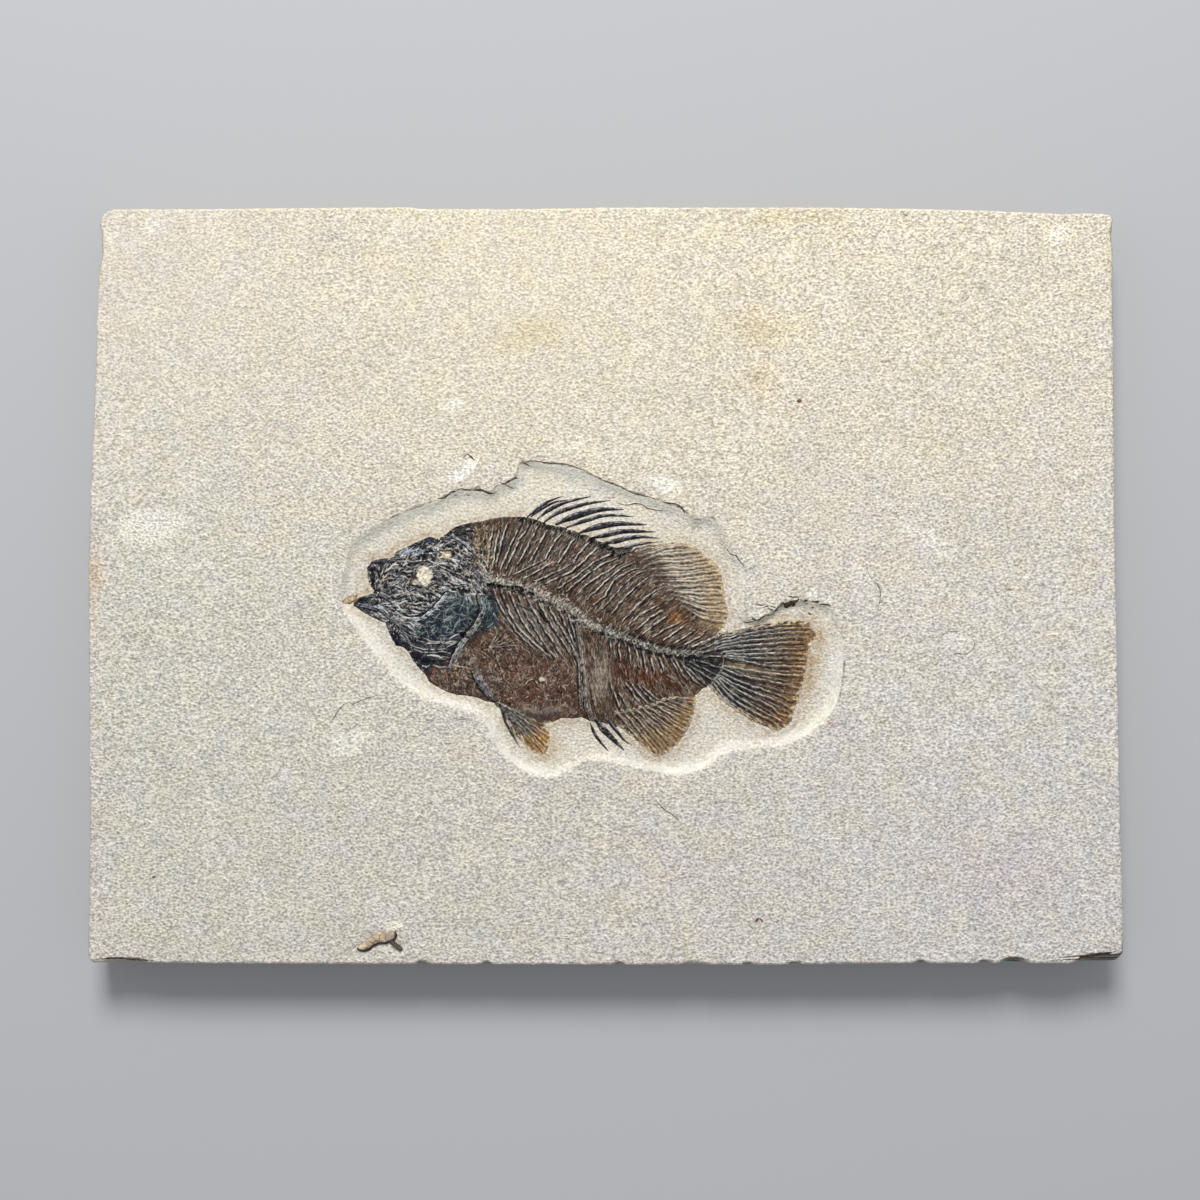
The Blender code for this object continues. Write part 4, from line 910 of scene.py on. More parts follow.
def build_slab(material):
    """The limestone slab: grained face with its trough, layered edges and a flat back."""
    shares_x = stops(-153.0, 153.0, FINE_X)
    shares_y = stops(-112.0, 112.0, FINE_Y)
    sides = slab_outline()
    top, right, bottom, left = (spaced(side, shares) for side, shares in
                                zip(sides, (shares_x, 1.0 - shares_y[::-1], 1.0 - shares_x[::-1], shares_y)))
    outline = np.vstack([top[:-1], right[:-1], bottom[:-1], left[:-1]])
    following, before = np.roll(outline, -2, axis=0), np.roll(outline, 2, axis=0)
    heading = following - before
    heading /= np.hypot(*heading.T)[:, None]
    inward = np.stack([heading[:, 1], -heading[:, 0]], axis=1)
    way = np.concatenate([[0.0], np.cumsum(np.hypot(*np.diff(outline, axis=0).T))])
    first = ring_of(outline, inward, way, THICKNESS, TOP_BEVEL)

    # The face is a grid drawn between the four sides of its ring
    nx, ny = len(shares_x), len(shares_y)
    ring = np.vstack([first, first[:1]])
    cut = np.cumsum([0, nx - 1, ny - 1, nx - 1, ny - 1])
    side_top, side_right, side_bottom, side_left = (ring[a:b + 1] for a, b in zip(cut, cut[1:]))
    south, north = side_bottom[::-1], side_top
    west, east = side_left, side_right[::-1]
    u, v = shares_x[None, :, None], shares_y[:, None, None]
    face = ((1 - v) * south[None] + v * north[None] + (1 - u) * west[:, None] + u * east[:, None]
            - (1 - u) * (1 - v) * south[0] - u * (1 - v) * south[-1]
            - (1 - u) * v * north[0] - u * v * north[-1])
    x, y = face[..., 0].ravel(), face[..., 1].ravel()
    height, trough = face_height(x, y)
    skin = Skin(x, y, height, STONE)
    extra = paint_face(skin, trough)
    pit = depth_inside(x, y, widened_lump(), 6.0)
    skin.height -= 0.5 * smooth((pit + 1.2) / 0.8)
    number = np.arange(nx * ny).reshape(ny, nx)
    corner, across, up, far = (number[:-1, :-1].ravel(), number[:-1, 1:].ravel(),
                               number[1:, :-1].ravel(), number[1:, 1:].ravel())
    triangles = [np.stack([corner, across, far], axis=1), np.stack([corner, far, up], axis=1)]
    rim = np.concatenate([number[-1, :-1], number[1:, -1][::-1], number[0, 1:][::-1], number[:-1, 0]])
    points = [np.stack([x, y, skin.height], axis=1)]
    colours, finishes = [skin.colour], [skin.finish]
    count = len(x)
    upper = rim
    edge_colour = skin.colour[rim] * 0.98
    broken = np.zeros(len(outline))
    for x, y, reach, _, _, dark in CHIPS:
        distance = np.hypot(outline[:, 0] - x, outline[:, 1] - y)
        broken = np.maximum(broken, dark * smooth(1.5 * (1.0 - distance / reach)))
    # Painted shade in the chips' broken layers, darkest in every other ring
    broken_shade_colours = (tone(34, 32, 34), tone(150, 144, 134))
    for number, (level, back) in enumerate(LAYERS):
        spots = ring_of(outline, inward, way, level, back)
        lower = np.arange(count, count + len(spots))
        points.append(np.column_stack([spots, np.full(len(spots), level)]))
        share = broken[:, None] * smooth((level - 11.0) / 3.0)
        colours.append(edge_colour + (broken_shade_colours[number % 2] - edge_colour) * share)
        banded = smooth((THICKNESS - 0.3 - level) / 0.6) * (1.0 - share[:, 0])
        finishes.append(np.column_stack([np.full(len(spots), 0.7), banded, np.zeros(len(spots))]))
        count += len(spots)
        next_upper, next_lower = np.roll(upper, -1), np.roll(lower, -1)
        triangles.append(np.stack([next_upper, upper, lower], axis=1))
        triangles.append(np.stack([next_upper, lower, next_lower], axis=1))
        upper = lower

    # Underside
    base_ring = points[-1][:, :2]
    spots_x = np.arange(-150.0 + UNDER_SPACING, 150.0, UNDER_SPACING)
    spots_y = np.arange(-108.0 + UNDER_SPACING, 108.0, UNDER_SPACING)
    inner = np.stack(np.meshgrid(spots_x, spots_y), axis=-1).reshape(-1, 2)
    inner = inner + 0.8 * np.stack([RAGGED.at(inner[:, 0] / 9.0, inner[:, 1] / 9.0),
                                    RAGGED.at(inner[:, 1] / 9.0, inner[:, 0] / 9.0)], axis=1)
    loop = list(range(len(base_ring)))
    flat = fill(np.vstack([base_ring, inner]).tolist(), list(zip(loop, loop[1:] + loop[:1])))
    numbers = np.concatenate([upper, count + np.arange(len(inner))])
    dip = 0.12 * np.clip(SWELL_NOISE.layers(inner[:, 0], inner[:, 1], 30.0, 3), 0.0, 1.0)
    points.append(np.column_stack([inner, dip]))
    colours.append(np.tile(tone(196, 188, 172), (len(inner), 1)))
    finishes.append(np.tile([0.8, 0.0, 0.0], (len(inner), 1)))
    triangles.append(numbers[flat][:, ::-1])
    attributes = {"tint": np.vstack(colours), "finish": np.vstack(finishes)}
    for key, values in extra.items():
        beyond = [-2.0, 0.0, 0.0] if key == "rim" else [0.0, 0.0, 0.0]
        attributes[key] = np.vstack([values, np.tile(beyond, (count + len(inner) - len(values), 1))])
    return build_mesh("limestone_block", np.vstack(points), np.vstack(triangles), attributes, material)


# Coprolite: its outline, and the leg at its end
LUMP_LOOP = [
    (-73.4, -107.1), (-72.4, -107.7), (-71, -107.9), (-69.4, -107.3), (-68.4, -106.3), (-66.8, -105.7),
    (-64.8, -105.6), (-63.4, -105.1), (-62.1, -104.4), (-61.5, -103), (-61.9, -101.8), (-63.2, -102),
    (-65.2, -102.5), (-66.8, -101.9), (-68.2, -102.6), (-69.8, -104.1), (-71.7, -105.2), (-72.8, -106.3),
]
LUMP_LEG = [(-63.4, -104.6), (-62.2, -105.7), (-60.6, -107)]
# Dark folds across it: half width, route
LUMP_FOLDS = [(0.22, [(-69.8, -104.4), (-69, -105), (-68, -105.4)]),
              (0.18, [(-66.9, -102.4), (-66.5, -103.6), (-66.7, -105)]),
              (0.16, [(-64.6, -102.8), (-64.9, -104), (-64.2, -105)])]
LEG_HALF_WIDTH = 0.62
LUMP_HEIGHT, LUMP_REACH = 1.35, 1.5
LUMP_SPACING = 0.16


def widened_lump():
    """The loop of stone that dips round the coprolite."""
    return np.array([(-74.2, -107.6), (-73.4, -106.2), (-70.8, -104.2), (-68.2, -102.7), (-65.0, -102.4),
                     (-62.4, -101.6), (-61.2, -102.6), (-62.0, -104.2), (-60.3, -106.4), (-60.4, -107.4),
                     (-61.4, -107.2), (-63.6, -105.4), (-66.4, -105.4), (-69.0, -106.2), (-71.4, -107.9)])


def build_coprolite(material):
    """The small lump: tan above, with painted shadow along its lower side and round its foot, and a dull leg
    at one end.
    """
    columns = np.arange(-76.0, -58.5, LUMP_SPACING)
    rows = np.arange(-109.5, -100.0, LUMP_SPACING)
    x, y = (axis.ravel() for axis in np.meshgrid(columns, rows))
    noise = Noise(31)
    wobble = 0.16 * noise.layers(x, y, 1.2, 3)
    body = depth_inside(x, y, np.array(LUMP_LOOP), 3.0) / LUMP_REACH + wobble
    where, gap, _ = along(x, y, curve(LUMP_LEG, 0.4), LEG_HALF_WIDTH + 1.0)
    leg = np.full(x.size, -1.0)
    leg[where] = (LEG_HALF_WIDTH - np.abs(gap)) / LUMP_REACH + wobble[where]
    proud = np.maximum(body, leg)
    dome = np.sqrt(np.clip(proud, 0.0, 1.0))
    ground = face_height(x, y)[0] - 0.45
    height = ground + np.where(proud > 0.0,
                               0.35 + LUMP_HEIGHT * dome * (0.80 + 0.35 * noise.layers(x, y, 1.6, 2)),
                               2.0 * proud)
    skin = Skin(x, y, height, tone(176, 154, 128))
    skin.paint(EVERY, tone(216, 204, 176), 0.8 * smooth(0.5 + 1.6 * noise.layers(x + 20.0, y, 1.7, 2)))
    skin.patch((-63.6, -103.3), 1.8, 1.2, 20.0, tone(166, 152, 150), 0.8)
    skin.patch((-61.9, -102.6), 0.7, 1.2, 10.0, tone(96, 62, 50), 0.85, 0.6)
    for half_width, route in LUMP_FOLDS:
        skin.line(curve(route, 0.4), half_width, tone(92, 66, 60), 0.85, -0.15, broken=0.4)
    # Painted shadow along the lump's lower side
    below = depth_inside(x + 0.15, y - 0.75, np.array(LUMP_LOOP), 3.0)
    skin.paint(EVERY, tone(44, 34, 40), 0.94 * smooth((0.25 - below) / 0.4))
    skin.paint(EVERY, tone(92, 86, 74), 0.9 * smooth((leg - body) * 6.0))
    # Painted shade round the lump's foot, where it meets the stone
    skin.paint(EVERY, tone(66, 56, 48), 0.7 * smooth((0.10 - proud) / 0.15))
    skin.colour *= (1.0 + 0.18 * noise.layers(x, y, 0.7, 3))[:, None]
    skin.finish[:, 0] = 0.9
    skin.finish[:, 1] = 0.75
    return relief("coprolite_lump", kept_cells(proud > -0.7, len(columns)), skin, 16.6, material,
                  {"tint": skin.colour, "finish": skin.finish, "flow": np.column_stack([x, y, x * 0.0])})


def build_cracks_and_shadows(material):
    """Dark lines of crack dirt and of painted rim shadow: each a thin three-sided strip that tapers to its
    ends.
    """
    points, triangles = [], []
    count = 0
    wander = Noise(41)
    for half_width, route in CRACK_AND_SHADOW_LINES:
        line = curve(route, 0.45)
        line = line + 0.16 * np.stack([wander.layers(line[:, 0], line[:, 1], 1.1, 2),
                                       wander.layers(line[:, 1], line[:, 0], 1.1, 2)], axis=1)
        heading = np.gradient(line, axis=0)
        heading /= np.hypot(*heading.T)[:, None]
        left = np.stack([-heading[:, 1], heading[:, 0]], axis=1)
        share = np.linspace(0.0, 1.0, len(line))
        taper = np.minimum(1.0, 3.2 * np.minimum(share, 1.0 - share) + 0.12)
        row = np.full(share.shape, half_width * 50.0)
        ragged = 1.0 + 0.45 * wander.layers(share * len(line), row, 3.0, 2)
        width = (half_width * taper * ragged)[:, None]
        buried = left * width * (1.0 + CRACK_ROOT / CRACK_STAND)
        edges = ((line + buried, -CRACK_ROOT), (line, CRACK_STAND), (line - buried, -CRACK_ROOT))
        for spots, level in edges:
            points.append(np.column_stack([spots, face_height(spots[:, 0], spots[:, 1])[0] + level]))
        steps = np.arange(len(line) - 1)
        for a, b in ((0, 1), (1, 2), (2, 0)):
            p, q = count + a * len(line) + steps, count + b * len(line) + steps
            triangles.append(np.stack([p, q, q + 1], axis=1)[:, ::-1])
            triangles.append(np.stack([p, q + 1, p + 1], axis=1)[:, ::-1])
        ends = np.array([count, count + len(line), count + 2 * len(line)])
        triangles.append(ends[None, :])
        triangles.append((ends + len(line) - 1)[None, ::-1])
        count += 3 * len(line)
    return build_mesh("face_cracks_and_shadows", np.vstack(points), np.vstack(triangles), {}, material, crease=180.0)


# Colours of the fish
BROWN, RUST, UMBER = tone(76, 58, 47), tone(92, 58, 40), tone(46, 33, 28)
BLUE_BLACK, TEAL, INK = tone(28, 31, 42), tone(28, 43, 51), tone(12, 12, 17)
BONE_GREY, BONE_PALE = tone(156, 152, 146), tone(206, 199, 184)

# Broad colours of the body: middle, half length, half width, turn, colour, strength
BODY_ZONES = [
    ((-22, 9), 17, 10, -8, tone(84, 74, 66), 0.8), ((0, 0), 18, 9, -38, tone(90, 74, 62), 0.8),
    ((-22, -11), 15, 9, -35, tone(106, 99, 95), 0.80), ((-24, -28), 20, 11, -5, tone(94, 66, 54), 0.9),
    ((-18, -36.6), 12, 2.6, -4, tone(130, 118, 108), 0.85), ((-44, -27), 9, 6, -15, tone(76, 62, 58), 0.85),
    ((12, -27), 16, 7.5, -10, tone(74, 37, 20), 1), ((20, -11), 13, 5, -35, tone(88, 64, 46), 0.85),
    ((-1, -26.5), 4.6, 11, -4, tone(150, 140, 128), 0.88), ((28, -22), 8, 5.5, -20, tone(40, 40, 42), 0.95),
    ((-2, 14), 12, 3, -24, tone(66, 60, 54), 0.7), ((21.5, -9.6), 5, 3.6, -50, tone(132, 92, 52), 0.80),
    ((-29.5, 12.5), 8.5, 2.4, 67, tone(54, 55, 60), 0.75), ((-34, -28), 4, 7, 30, tone(60, 58, 62), 0.6),
]
HEAD = [
    (-76, -4), (-71.5, 9), (-60, 13), (-50, 17), (-40, 20), (-38.5, 16), (-40, 11), (-37, 6), (-34.5, 1),
    (-33, -6), (-32, -11), (-35.5, -13), (-39.5, -15.5), (-43, -19), (-46.5, -21.5), (-51.5, -24.5),
    (-55, -27), (-62, -20), (-70, -11),
]
GILL_COVER = [(-48, -3), (-44, -1.6), (-40, -2), (-37.6, -5), (-38, -9), (-41, -13), (-46, -14.6),
              (-51, -15.4), (-56, -15.2), (-60, -12.5), (-58, -10.6), (-54, -10.4), (-51, -8.2), (-49, -5.4)]
TAIL_LOOP = [(33, -13.6), (47, -7.5), (62, -7), (67, -14), (64.5, -27), (58.5, -43.5), (50.6, -47),
             (31.5, -36), (29.6, -30.4), (34.6, -22.6)]
SOFT_DORSAL_LOOP = [(7, 9.4), (12, 17), (27, 17.5), (38, 9.5), (41, -8.6), (39, -15), (34, -13), (27.5, -9),
                    (20.5, -3.6), (14, 3.4)]
ANAL_LOOP = [(2, -38.4), (12, -36), (21, -33), (30.5, -31.5), (30.5, -38), (24, -50.5), (15.5, -55),
             (7, -49)]
PELVIC_LOOP = [(-32, -34.6), (-26, -37), (-17, -38.6), (-12.5, -46), (-18.6, -54), (-26.6, -50),
               (-31.6, -41)]

# Run of the bone's grain: x, y, degrees
GRAIN_RUN = [
    (-33, 12, 72), (-26, 12, 64), (-18, 12, 56), (-8, 9, 48), (2, 3, 44), (10, -5, 42), (16, -10, 38),
    (25, -15, 30), (-31, -6, -64), (-24, -12, -54), (-16, -15, -56), (-8, -20, -75), (4, -22, -84),
    (12, -25, -80), (22, -25, -55), (-68, 3, 75), (-63, 3, 5), (-58, 11, 33), (-60, -3, -8), (-54, -5, -14),
    (-48, 13, -5), (-43, 10, -42), (-44, 3, -20), (-38, 0, -60), (-46, -9, 25), (-40, -17, 55),
    (-36, -8, 75), (-54, -17, -8), (-68, -7, -28), (-62, -13, -50), (-40, -27, -50), (-22, -29, -20),
]

# Thin bones, drawn pale with a dark line of painted shadow on one side: half width, rise, strength, routes
THIN_BONES = [
    # bones that carry the spines
    (0.25, 0.16, 1.0, [
        [(-31, 5), (-29, 10), (-26.5, 15.5), (-24.5, 19.5)],
        [(-29.5, 5), (-27.5, 9.5), (-25, 14.5), (-21.5, 19.5)],
        [(-26, 6.5), (-24, 10), (-21.5, 15), (-19.8, 18.5)],
        [(-22.5, 7), (-20, 11.5), (-17.5, 16.2), (-16, 18)],
        [(-18, 8), (-16, 11.5), (-14, 14.5), (-11.5, 17)], [(-14, 7), (-12, 10), (-10, 13), (-7, 16)],
        [(-9.8, 6.5), (-8, 9.5), (-6, 12), (-3.2, 14)], [(-7.5, 6), (-5, 9), (-2.5, 11), (0, 12)],
        [(-5, 4.5), (-2, 7.5), (2, 9.5), (3.5, 10.5)], [(-35, 5), (-34.4, 11), (-33.4, 17)],
        [(-33.5, 5.2), (-32.6, 11), (-31.2, 18)], [(-32.4, 6), (-31, 12), (-29, 18.6)],
        [(-36.4, 6), (-36.2, 11), (-35.6, 16)],
    ]),
    # bones above the backbone
    (0.23, 0.16, 0.9, [
        [(-27, 3.5), (-23, 5.5), (-19, 7.5)], [(-24, 2.5), (-21, 4), (-16, 6.8), (-14, 7.2)],
        [(-21, 1.5), (-17, 3), (-13, 5), (-10, 6.5)],
        [(-18, 0.8), (-14.5, 2.3), (-10, 4.5), (-6, 8), (-3, 10.5)],
        [(-14, -0.5), (-10, 2), (-6, 5), (-2, 8), (2, 9.8)],
        [(-11.5, -1.5), (-8, 1.5), (-4, 4.5), (0, 7), (4, 8.5)], [(-8.5, -2.5), (-5, 1), (0, 4), (5, 7.5)],
        [(-5.5, -3.8), (-2, -0.5), (0.5, 2), (5, 5.5), (9, 7)],
        [(-3.5, -5.5), (0, -2.5), (2, 1), (6, 4), (10, 5.5)],
        [(-1, -6.5), (2, -3.5), (5, 0), (9, 3.5), (12, 4.7)], [(2, -8), (6, -3), (11, 1.5), (14, 3)],
    ]),
    # bright bones towards the tail
    (0.26, 0.2, 1.0, [
        [(5, -10.5), (9, -6), (13, -2.5), (17, -0.5)], [(6.5, -11.5), (11, -8), (16, -5.5)],
        [(9, -13), (13, -9.5), (17, -7)], [(11, -14), (15, -11), (18.5, -8.5)],
        [(14, -15), (18, -12.5), (22, -10.8)], [(17, -16), (20, -14), (23.5, -11.5)],
        [(20.5, -16.8), (24, -14.5), (26.5, -13)], [(23.5, -17.2), (27, -15.5), (29, -14)],
        [(25.5, -17.8), (30, -16), (33, -14.5)],
    ]),
    # ribs
    (0.26, 0.2, 0.8, [
        [(-33, -1), (-31, -6), (-28.5, -10), (-26, -13.5), (-22, -17.5), (-19, -20.5)],
        [(-31, -1), (-29, -6), (-26.5, -11), (-23, -15), (-18.5, -19), (-15.5, -21.5)],
        [(-28.5, -1.5), (-26.5, -6), (-24, -11), (-20.5, -15.5), (-16, -20)],
        [(-26, -2), (-23.5, -8), (-21, -12), (-18, -17), (-15, -21)],
        [(-23, -3), (-21, -7.5), (-18, -12.5), (-15, -17), (-12.5, -21)],
        [(-20, -4), (-18, -8), (-15.5, -12), (-12.5, -16.5), (-10, -20.5)],
        [(-17, -5), (-15, -9), (-12.5, -13), (-10, -17.5), (-8.5, -21.5)],
        [(-14, -6.5), (-12.5, -10), (-10.5, -14), (-8.5, -18.5), (-7.5, -23)],
        [(-11, -8), (-9.8, -12), (-8.3, -17), (-7.2, -21)],
    ]),
    # bones below the backbone
    (0.26, 0.18, 0.75, [
        [(1.5, -16), (1.8, -21)], [(4, -17), (4.5, -22)], [(7, -18), (7.5, -23)], [(9, -18.5), (10, -24)],
        [(11, -19), (12, -24.5)], [(13.5, -20), (14.5, -26)], [(16, -21), (17.5, -25)],
        [(18.5, -20), (20, -22.5), (21.5, -25.5)], [(22, -21.5), (24, -25), (26, -27.5), (28.5, -29.5)],
        [(20.4, -21), (22.4, -25), (24.6, -28)], [(24, -21.6), (26.4, -25), (29.6, -28.4)],
        [(4, -31.5), (6, -34.5), (7.5, -36.5)], [(6, -28.5), (8.5, -32), (11, -35.5)],
        [(7.5, -28.5), (10.5, -32.5), (13, -35)], [(9.5, -29), (12.5, -32.5), (14.5, -34.5)],
        [(11, -29.5), (13.5, -32), (16.5, -33.8)], [(1.6, -29), (3.4, -33.6), (4.8, -36.8)],
    ]),
]

# Strong bones: half width, rise, colour, route
STRONG_BONES = [
    (1.0, 0.45, (150, 146, 138), [(-8.5, -9), (-7.5, -15), (-6.7, -20), (-6, -25), (-5.8, -30), (-5.6, -34),
      (-4.5, -38), (-3, -40)]),
    (0.6, 0.3, (156, 150, 140), [(-9.5, -19), (-7.8, -22.5), (-7.4, -27), (-7.3, -32), (-7, -36)]),
    (0.42, 0.25, (148, 140, 128), [(-4.6, -28), (-3.9, -30.5), (-3.4, -33.5), (-2.8, -36.5),
      (-1.8, -37.8)]),
    (1.05, 0.45, (150, 158, 154), [(-37, -3), (-36.2, -6), (-36.8, -9), (-38.5, -12), (-41, -15),
      (-43, -18), (-44.5, -21), (-45.5, -23.5)]),
    (0.55, 0.3, (170, 172, 164), [(-36.6, -8), (-38.4, -11.4), (-41.2, -14.6), (-44, -19), (-46, -23.8)]),
    (0.75, 0.35, (206, 210, 212), [(-47, -2.5), (-49, -5), (-51.5, -7.5), (-54, -9.3), (-57.5, -9.7),
      (-60, -9.3), (-62, -8)]),
    (0.3, 0.22, (196, 196, 188), [(-58, -17.5), (-55, -18.4), (-52, -18.7), (-47, -18.5)]),
    (0.24, 0.2, (176, 178, 176), [(-56, -16), (-53, -16.8), (-50, -17), (-45, -16.4)]),
    (0.26, 0.2, (184, 186, 182), [(-57.5, -18.5), (-53, -19.7), (-48.5, -19.8)]),
    (0.7, 0.3, (120, 128, 140), [(-74, -5), (-70.5, -6), (-67, -6.6), (-64.5, -8.2), (-62.6, -10.4)]),
    (0.32, 0.2, (206, 214, 220), [(-69.8, -5.8), (-67.6, -6.3), (-65.4, -7), (-64, -8.4)]),
    (0.6, 0.3, (60, 60, 68), [(-75, -5.6), (-72, -7), (-69, -8.6), (-66, -10)]),
    (0.55, 0.3, (112, 112, 118), [(-71.4, -3.4), (-68.6, -2.8), (-66, -2.6), (-63.4, -4.4), (-62.2, -6.6)]),
    (0.5, 0.28, (88, 90, 98), [(-69.6, 6.6), (-67, 7.4), (-64, 7.4), (-61, 8.6)]),
    (0.42, 0.25, (176, 178, 180), [(-45, 14.4), (-42, 12.8), (-39.6, 10.6), (-37.4, 8.4)]),
    (0.36, 0.22, (168, 168, 166), [(-50.5, 7), (-47, 5), (-43.6, 3.6), (-41, 2)]),
    (0.5, 0.25, (116, 112, 106), [(-39, -22.4), (-37.4, -27), (-34.4, -31.6), (-31.8, -34.8)]),
    (1.15, 0.35, (136, 140, 146), [(-38.5, -25), (-37.2, -28), (-35, -31), (-33, -33)]),
    (0.34, 0.2, (150, 140, 126), [(-32.6, -19.6), (-30.8, -24.6), (-28.8, -29.2)]),
    (0.3, 0.2, (178, 172, 158), [(-24.6, -30), (-21.4, -27.6), (-18.6, -30.8)]),
]

BACKBONE = [
    (-37, 3), (-34, 2), (-30, 0.8), (-26, -0.2), (-22, -1), (-18, -3), (-14, -5), (-10, -7), (-7, -9.5),
    (-3, -12), (1, -13.5), (5, -15), (9, -16.5), (13, -18), (17, -19), (21, -19.7), (25, -20), (28, -19.7),
    (30, -20),
]
DRUM_PITCH = 3.0
DEBRIS_LOOP = [(-37, 5.5), (-30, 3.2), (-20, 0.8), (-12, -2.6), (-4, -9), (4, -12.8), (3, -16.2),
               (-6, -12.6), (-14, -8), (-22, -4), (-30, -1.4), (-37, -0.4)]
# Black hollows beside the backbone: start, end, half width
SLOTS = [
    ((-34.6, 0.2), (-31, 0), 0.95), ((-27.2, -0.4), (-23.8, -1.2), 0.95),
    ((-30.4, -0.1), (-28, -0.3), 0.45), ((-26, -5.4), (-21.2, -8), 0.28),
    ((-20.6, -6.4), (-17.4, -11), 0.30), ((-22.6, -1.8), (-21, -2.6), 0.4),
]

SOFT_DORSAL_RAYS = [
    [(7, 9.5), (13, 11), (18, 12.5), (23, 13.2)], [(9, 8), (14, 9.5), (19, 11), (24, 11.5), (27, 11.3)],
    [(11, 7), (15.5, 8.7), (21, 9.2), (29, 10)], [(12, 5.5), (16, 6.7), (22, 6.7), (27, 7.3), (31, 8)],
    [(13.5, 4.3), (18, 4.8), (24, 4.8), (30, 5.7), (33, 6)],
    [(14.5, 2.8), (19, 2.7), (25, 3), (30, 3.8), (34, 4)],
    [(15.5, 1), (20, 1), (26, 1), (31, 1.7), (35, 2)],
    [(17, 0), (22, -0.6), (28, -0.3), (33, -0.3), (35.5, -0.3)],
    [(18.5, -1.7), (23, -2.3), (29, -2.7), (35.5, -2.7)], [(20, -3), (24, -4), (29, -5.3), (35.5, -5)],
    [(21.5, -4.3), (25, -6), (30, -7.5), (36.5, -8)], [(23, -6.5), (27, -9), (31, -10.5), (36, -10.8)],
]
TAIL_RAYS = [[(34, -14.2), (40, -12.3), (47, -10.8), (52, -10), (57, -9.8)],
             [(34, -15), (40, -13.2), (47, -11.5), (54, -10.8), (60, -10.5)],
             [(33, -16), (38, -14.8), (44, -13), (52, -12), (60, -12)],
             [(33, -17), (40, -15), (47, -13.8), (54, -13), (61.5, -13)],
             [(33, -17.8), (40, -16), (48, -14.8), (55, -14.3), (62, -14.3)],
             [(33, -18.7), (40, -17), (48, -16.3), (55, -15.8), (61, -15.8)],
             [(33, -19.3), (40, -18.2), (48, -17.7), (55, -17.2), (60, -17.3)],
             [(35, -20), (42, -19.5), (49, -19.2), (55, -19), (60, -19)],
             [(36, -20.5), (42, -20.7), (49, -20.5), (55, -20.5), (60, -20.7)],
             [(36, -21), (42, -21.7), (49, -22), (55, -22), (60, -22.3)],
             [(35, -21.5), (41, -22.7), (48, -24), (54, -24.3), (59.5, -24.5)],
             [(34.5, -24), (40, -25), (46, -26), (53, -26.8), (59.5, -27)],
             [(34.5, -25), (39, -26.7), (45, -28), (50, -29), (56, -30.5), (58.5, -31)],
             [(34, -26), (38, -28), (43, -30), (49, -32), (54, -34), (57.5, -34.5)],
             [(33.5, -27), (38, -29.5), (43, -31.5), (48, -33.5), (53, -35.5), (56, -38)],
             [(33, -27.5), (37, -30), (42, -33), (47, -35), (51, -38), (55, -39.5)],
             [(33, -28), (36.5, -31.5), (41, -34.5), (46, -37.5), (50, -39.5), (53.5, -41)],
             [(32.3, -28.5), (35.5, -32), (39, -35), (44, -38), (48, -40), (52, -42.3)],
             [(31.5, -29), (34.5, -33), (38, -35.8), (43, -39), (48, -41.8), (50.5, -43)],
             [(30.7, -29.7), (33, -32.5), (36, -35), (40, -38), (45, -40.8)]]
ANAL_BASE = [(3, -37.5), (8, -36.8), (12, -36), (15, -35), (17, -33.8), (21, -33.3)]
ANAL_ENDS = [(11.6, -48.2), (15, -50), (17.5, -49), (19.5, -47.5), (21.5, -45.5), (23, -43.5),
             (24.5, -41.5), (25.5, -39), (26, -37), (26.5, -35.2), (26.5, -34)]
PELVIC_ROOT = (-31.5, -35.0)
PELVIC_ENDS = [(-24.5, -47), (-22.2, -48.8), (-20, -49.8), (-18, -50), (-17, -48), (-16.5, -45),
               (-17.5, -42)]
PECTORAL_ROOT = (-34.0, -18.5)
PECTORAL_ENDS = [(-31, -12.5), (-29, -13), (-27.5, -14.5), (-26, -16), (-25.5, -18)]
EYE = (-53.5, 3.3)
# Pale stone in the eye and behind it: middle, half length, half width, turn, colour, strength, softness,
# wander, rise
EYE_PATCHES = [
    (EYE, 3.2, 2.6, 80, (228, 219, 198), 1.0, 0.3, 0.45, -0.35),
    ((-56.2, 1.2), 1.5, 0.8, 20, (214, 202, 180), 0.95, 0.4, 0.5, -0.2),
    ((-56.9, 2.6), 1.0, 1.3, 0, (74, 52, 50), 0.9, 0.5, 0.6, 0.0),
    ((-47.2, 9.3), 1.9, 1.1, 10, (226, 208, 176), 0.95, 0.4, 0.5, -0.15),
]
# Broad patches of the head: middle, half length, half width, turn, colour, strength, softness, wander
HEAD_PATCHES = [
    ((-54, 11.8), 9.0, 2.0, 32, (52, 62, 82), 0.7, 0.6, 0.25),
    ((-43, 17), 4.0, 1.7, 12, (34, 33, 35), 0.95, 0.3, 0.25),
    ((-37.2, 11.4), 6.4, 2.4, 98, (98, 80, 64), 0.75, 1.0, 0.9),
    ((-52.5, -21.6), 5.0, 2.4, -12, (22, 27, 40), 0.95, 0.6, 0.25),
    ((-36, 1), 4.5, 5.0, 0, (84, 82, 76), 0.5, 0.6, 0.25),
]
# Black hollows of the head: middle, half length, half width, turn
INKY = [((-43.5, 4.5), 1.8, 1.1, 10), ((-56.6, 3.2), 1, 1.4, 0), ((-69, 3), 1.2, 3.2, 8),
        ((-67.8, 7), 2.4, 0.7, 10), ((-55.5, 6.9), 3.6, 0.6, 4), ((-49, 14.2), 2.8, 0.6, 8),
        ((-63, -15), 1.6, 0.8, -50), ((-58.6, -17.4), 2.2, 0.7, -20), ((-51, -22.6), 4.2, 0.9, -14),
        ((-72, -5.4), 2, 0.6, -22), ((-61, -3.6), 2.2, 0.7, 12), ((-48, 8.8), 1.4, 0.6, -20)]


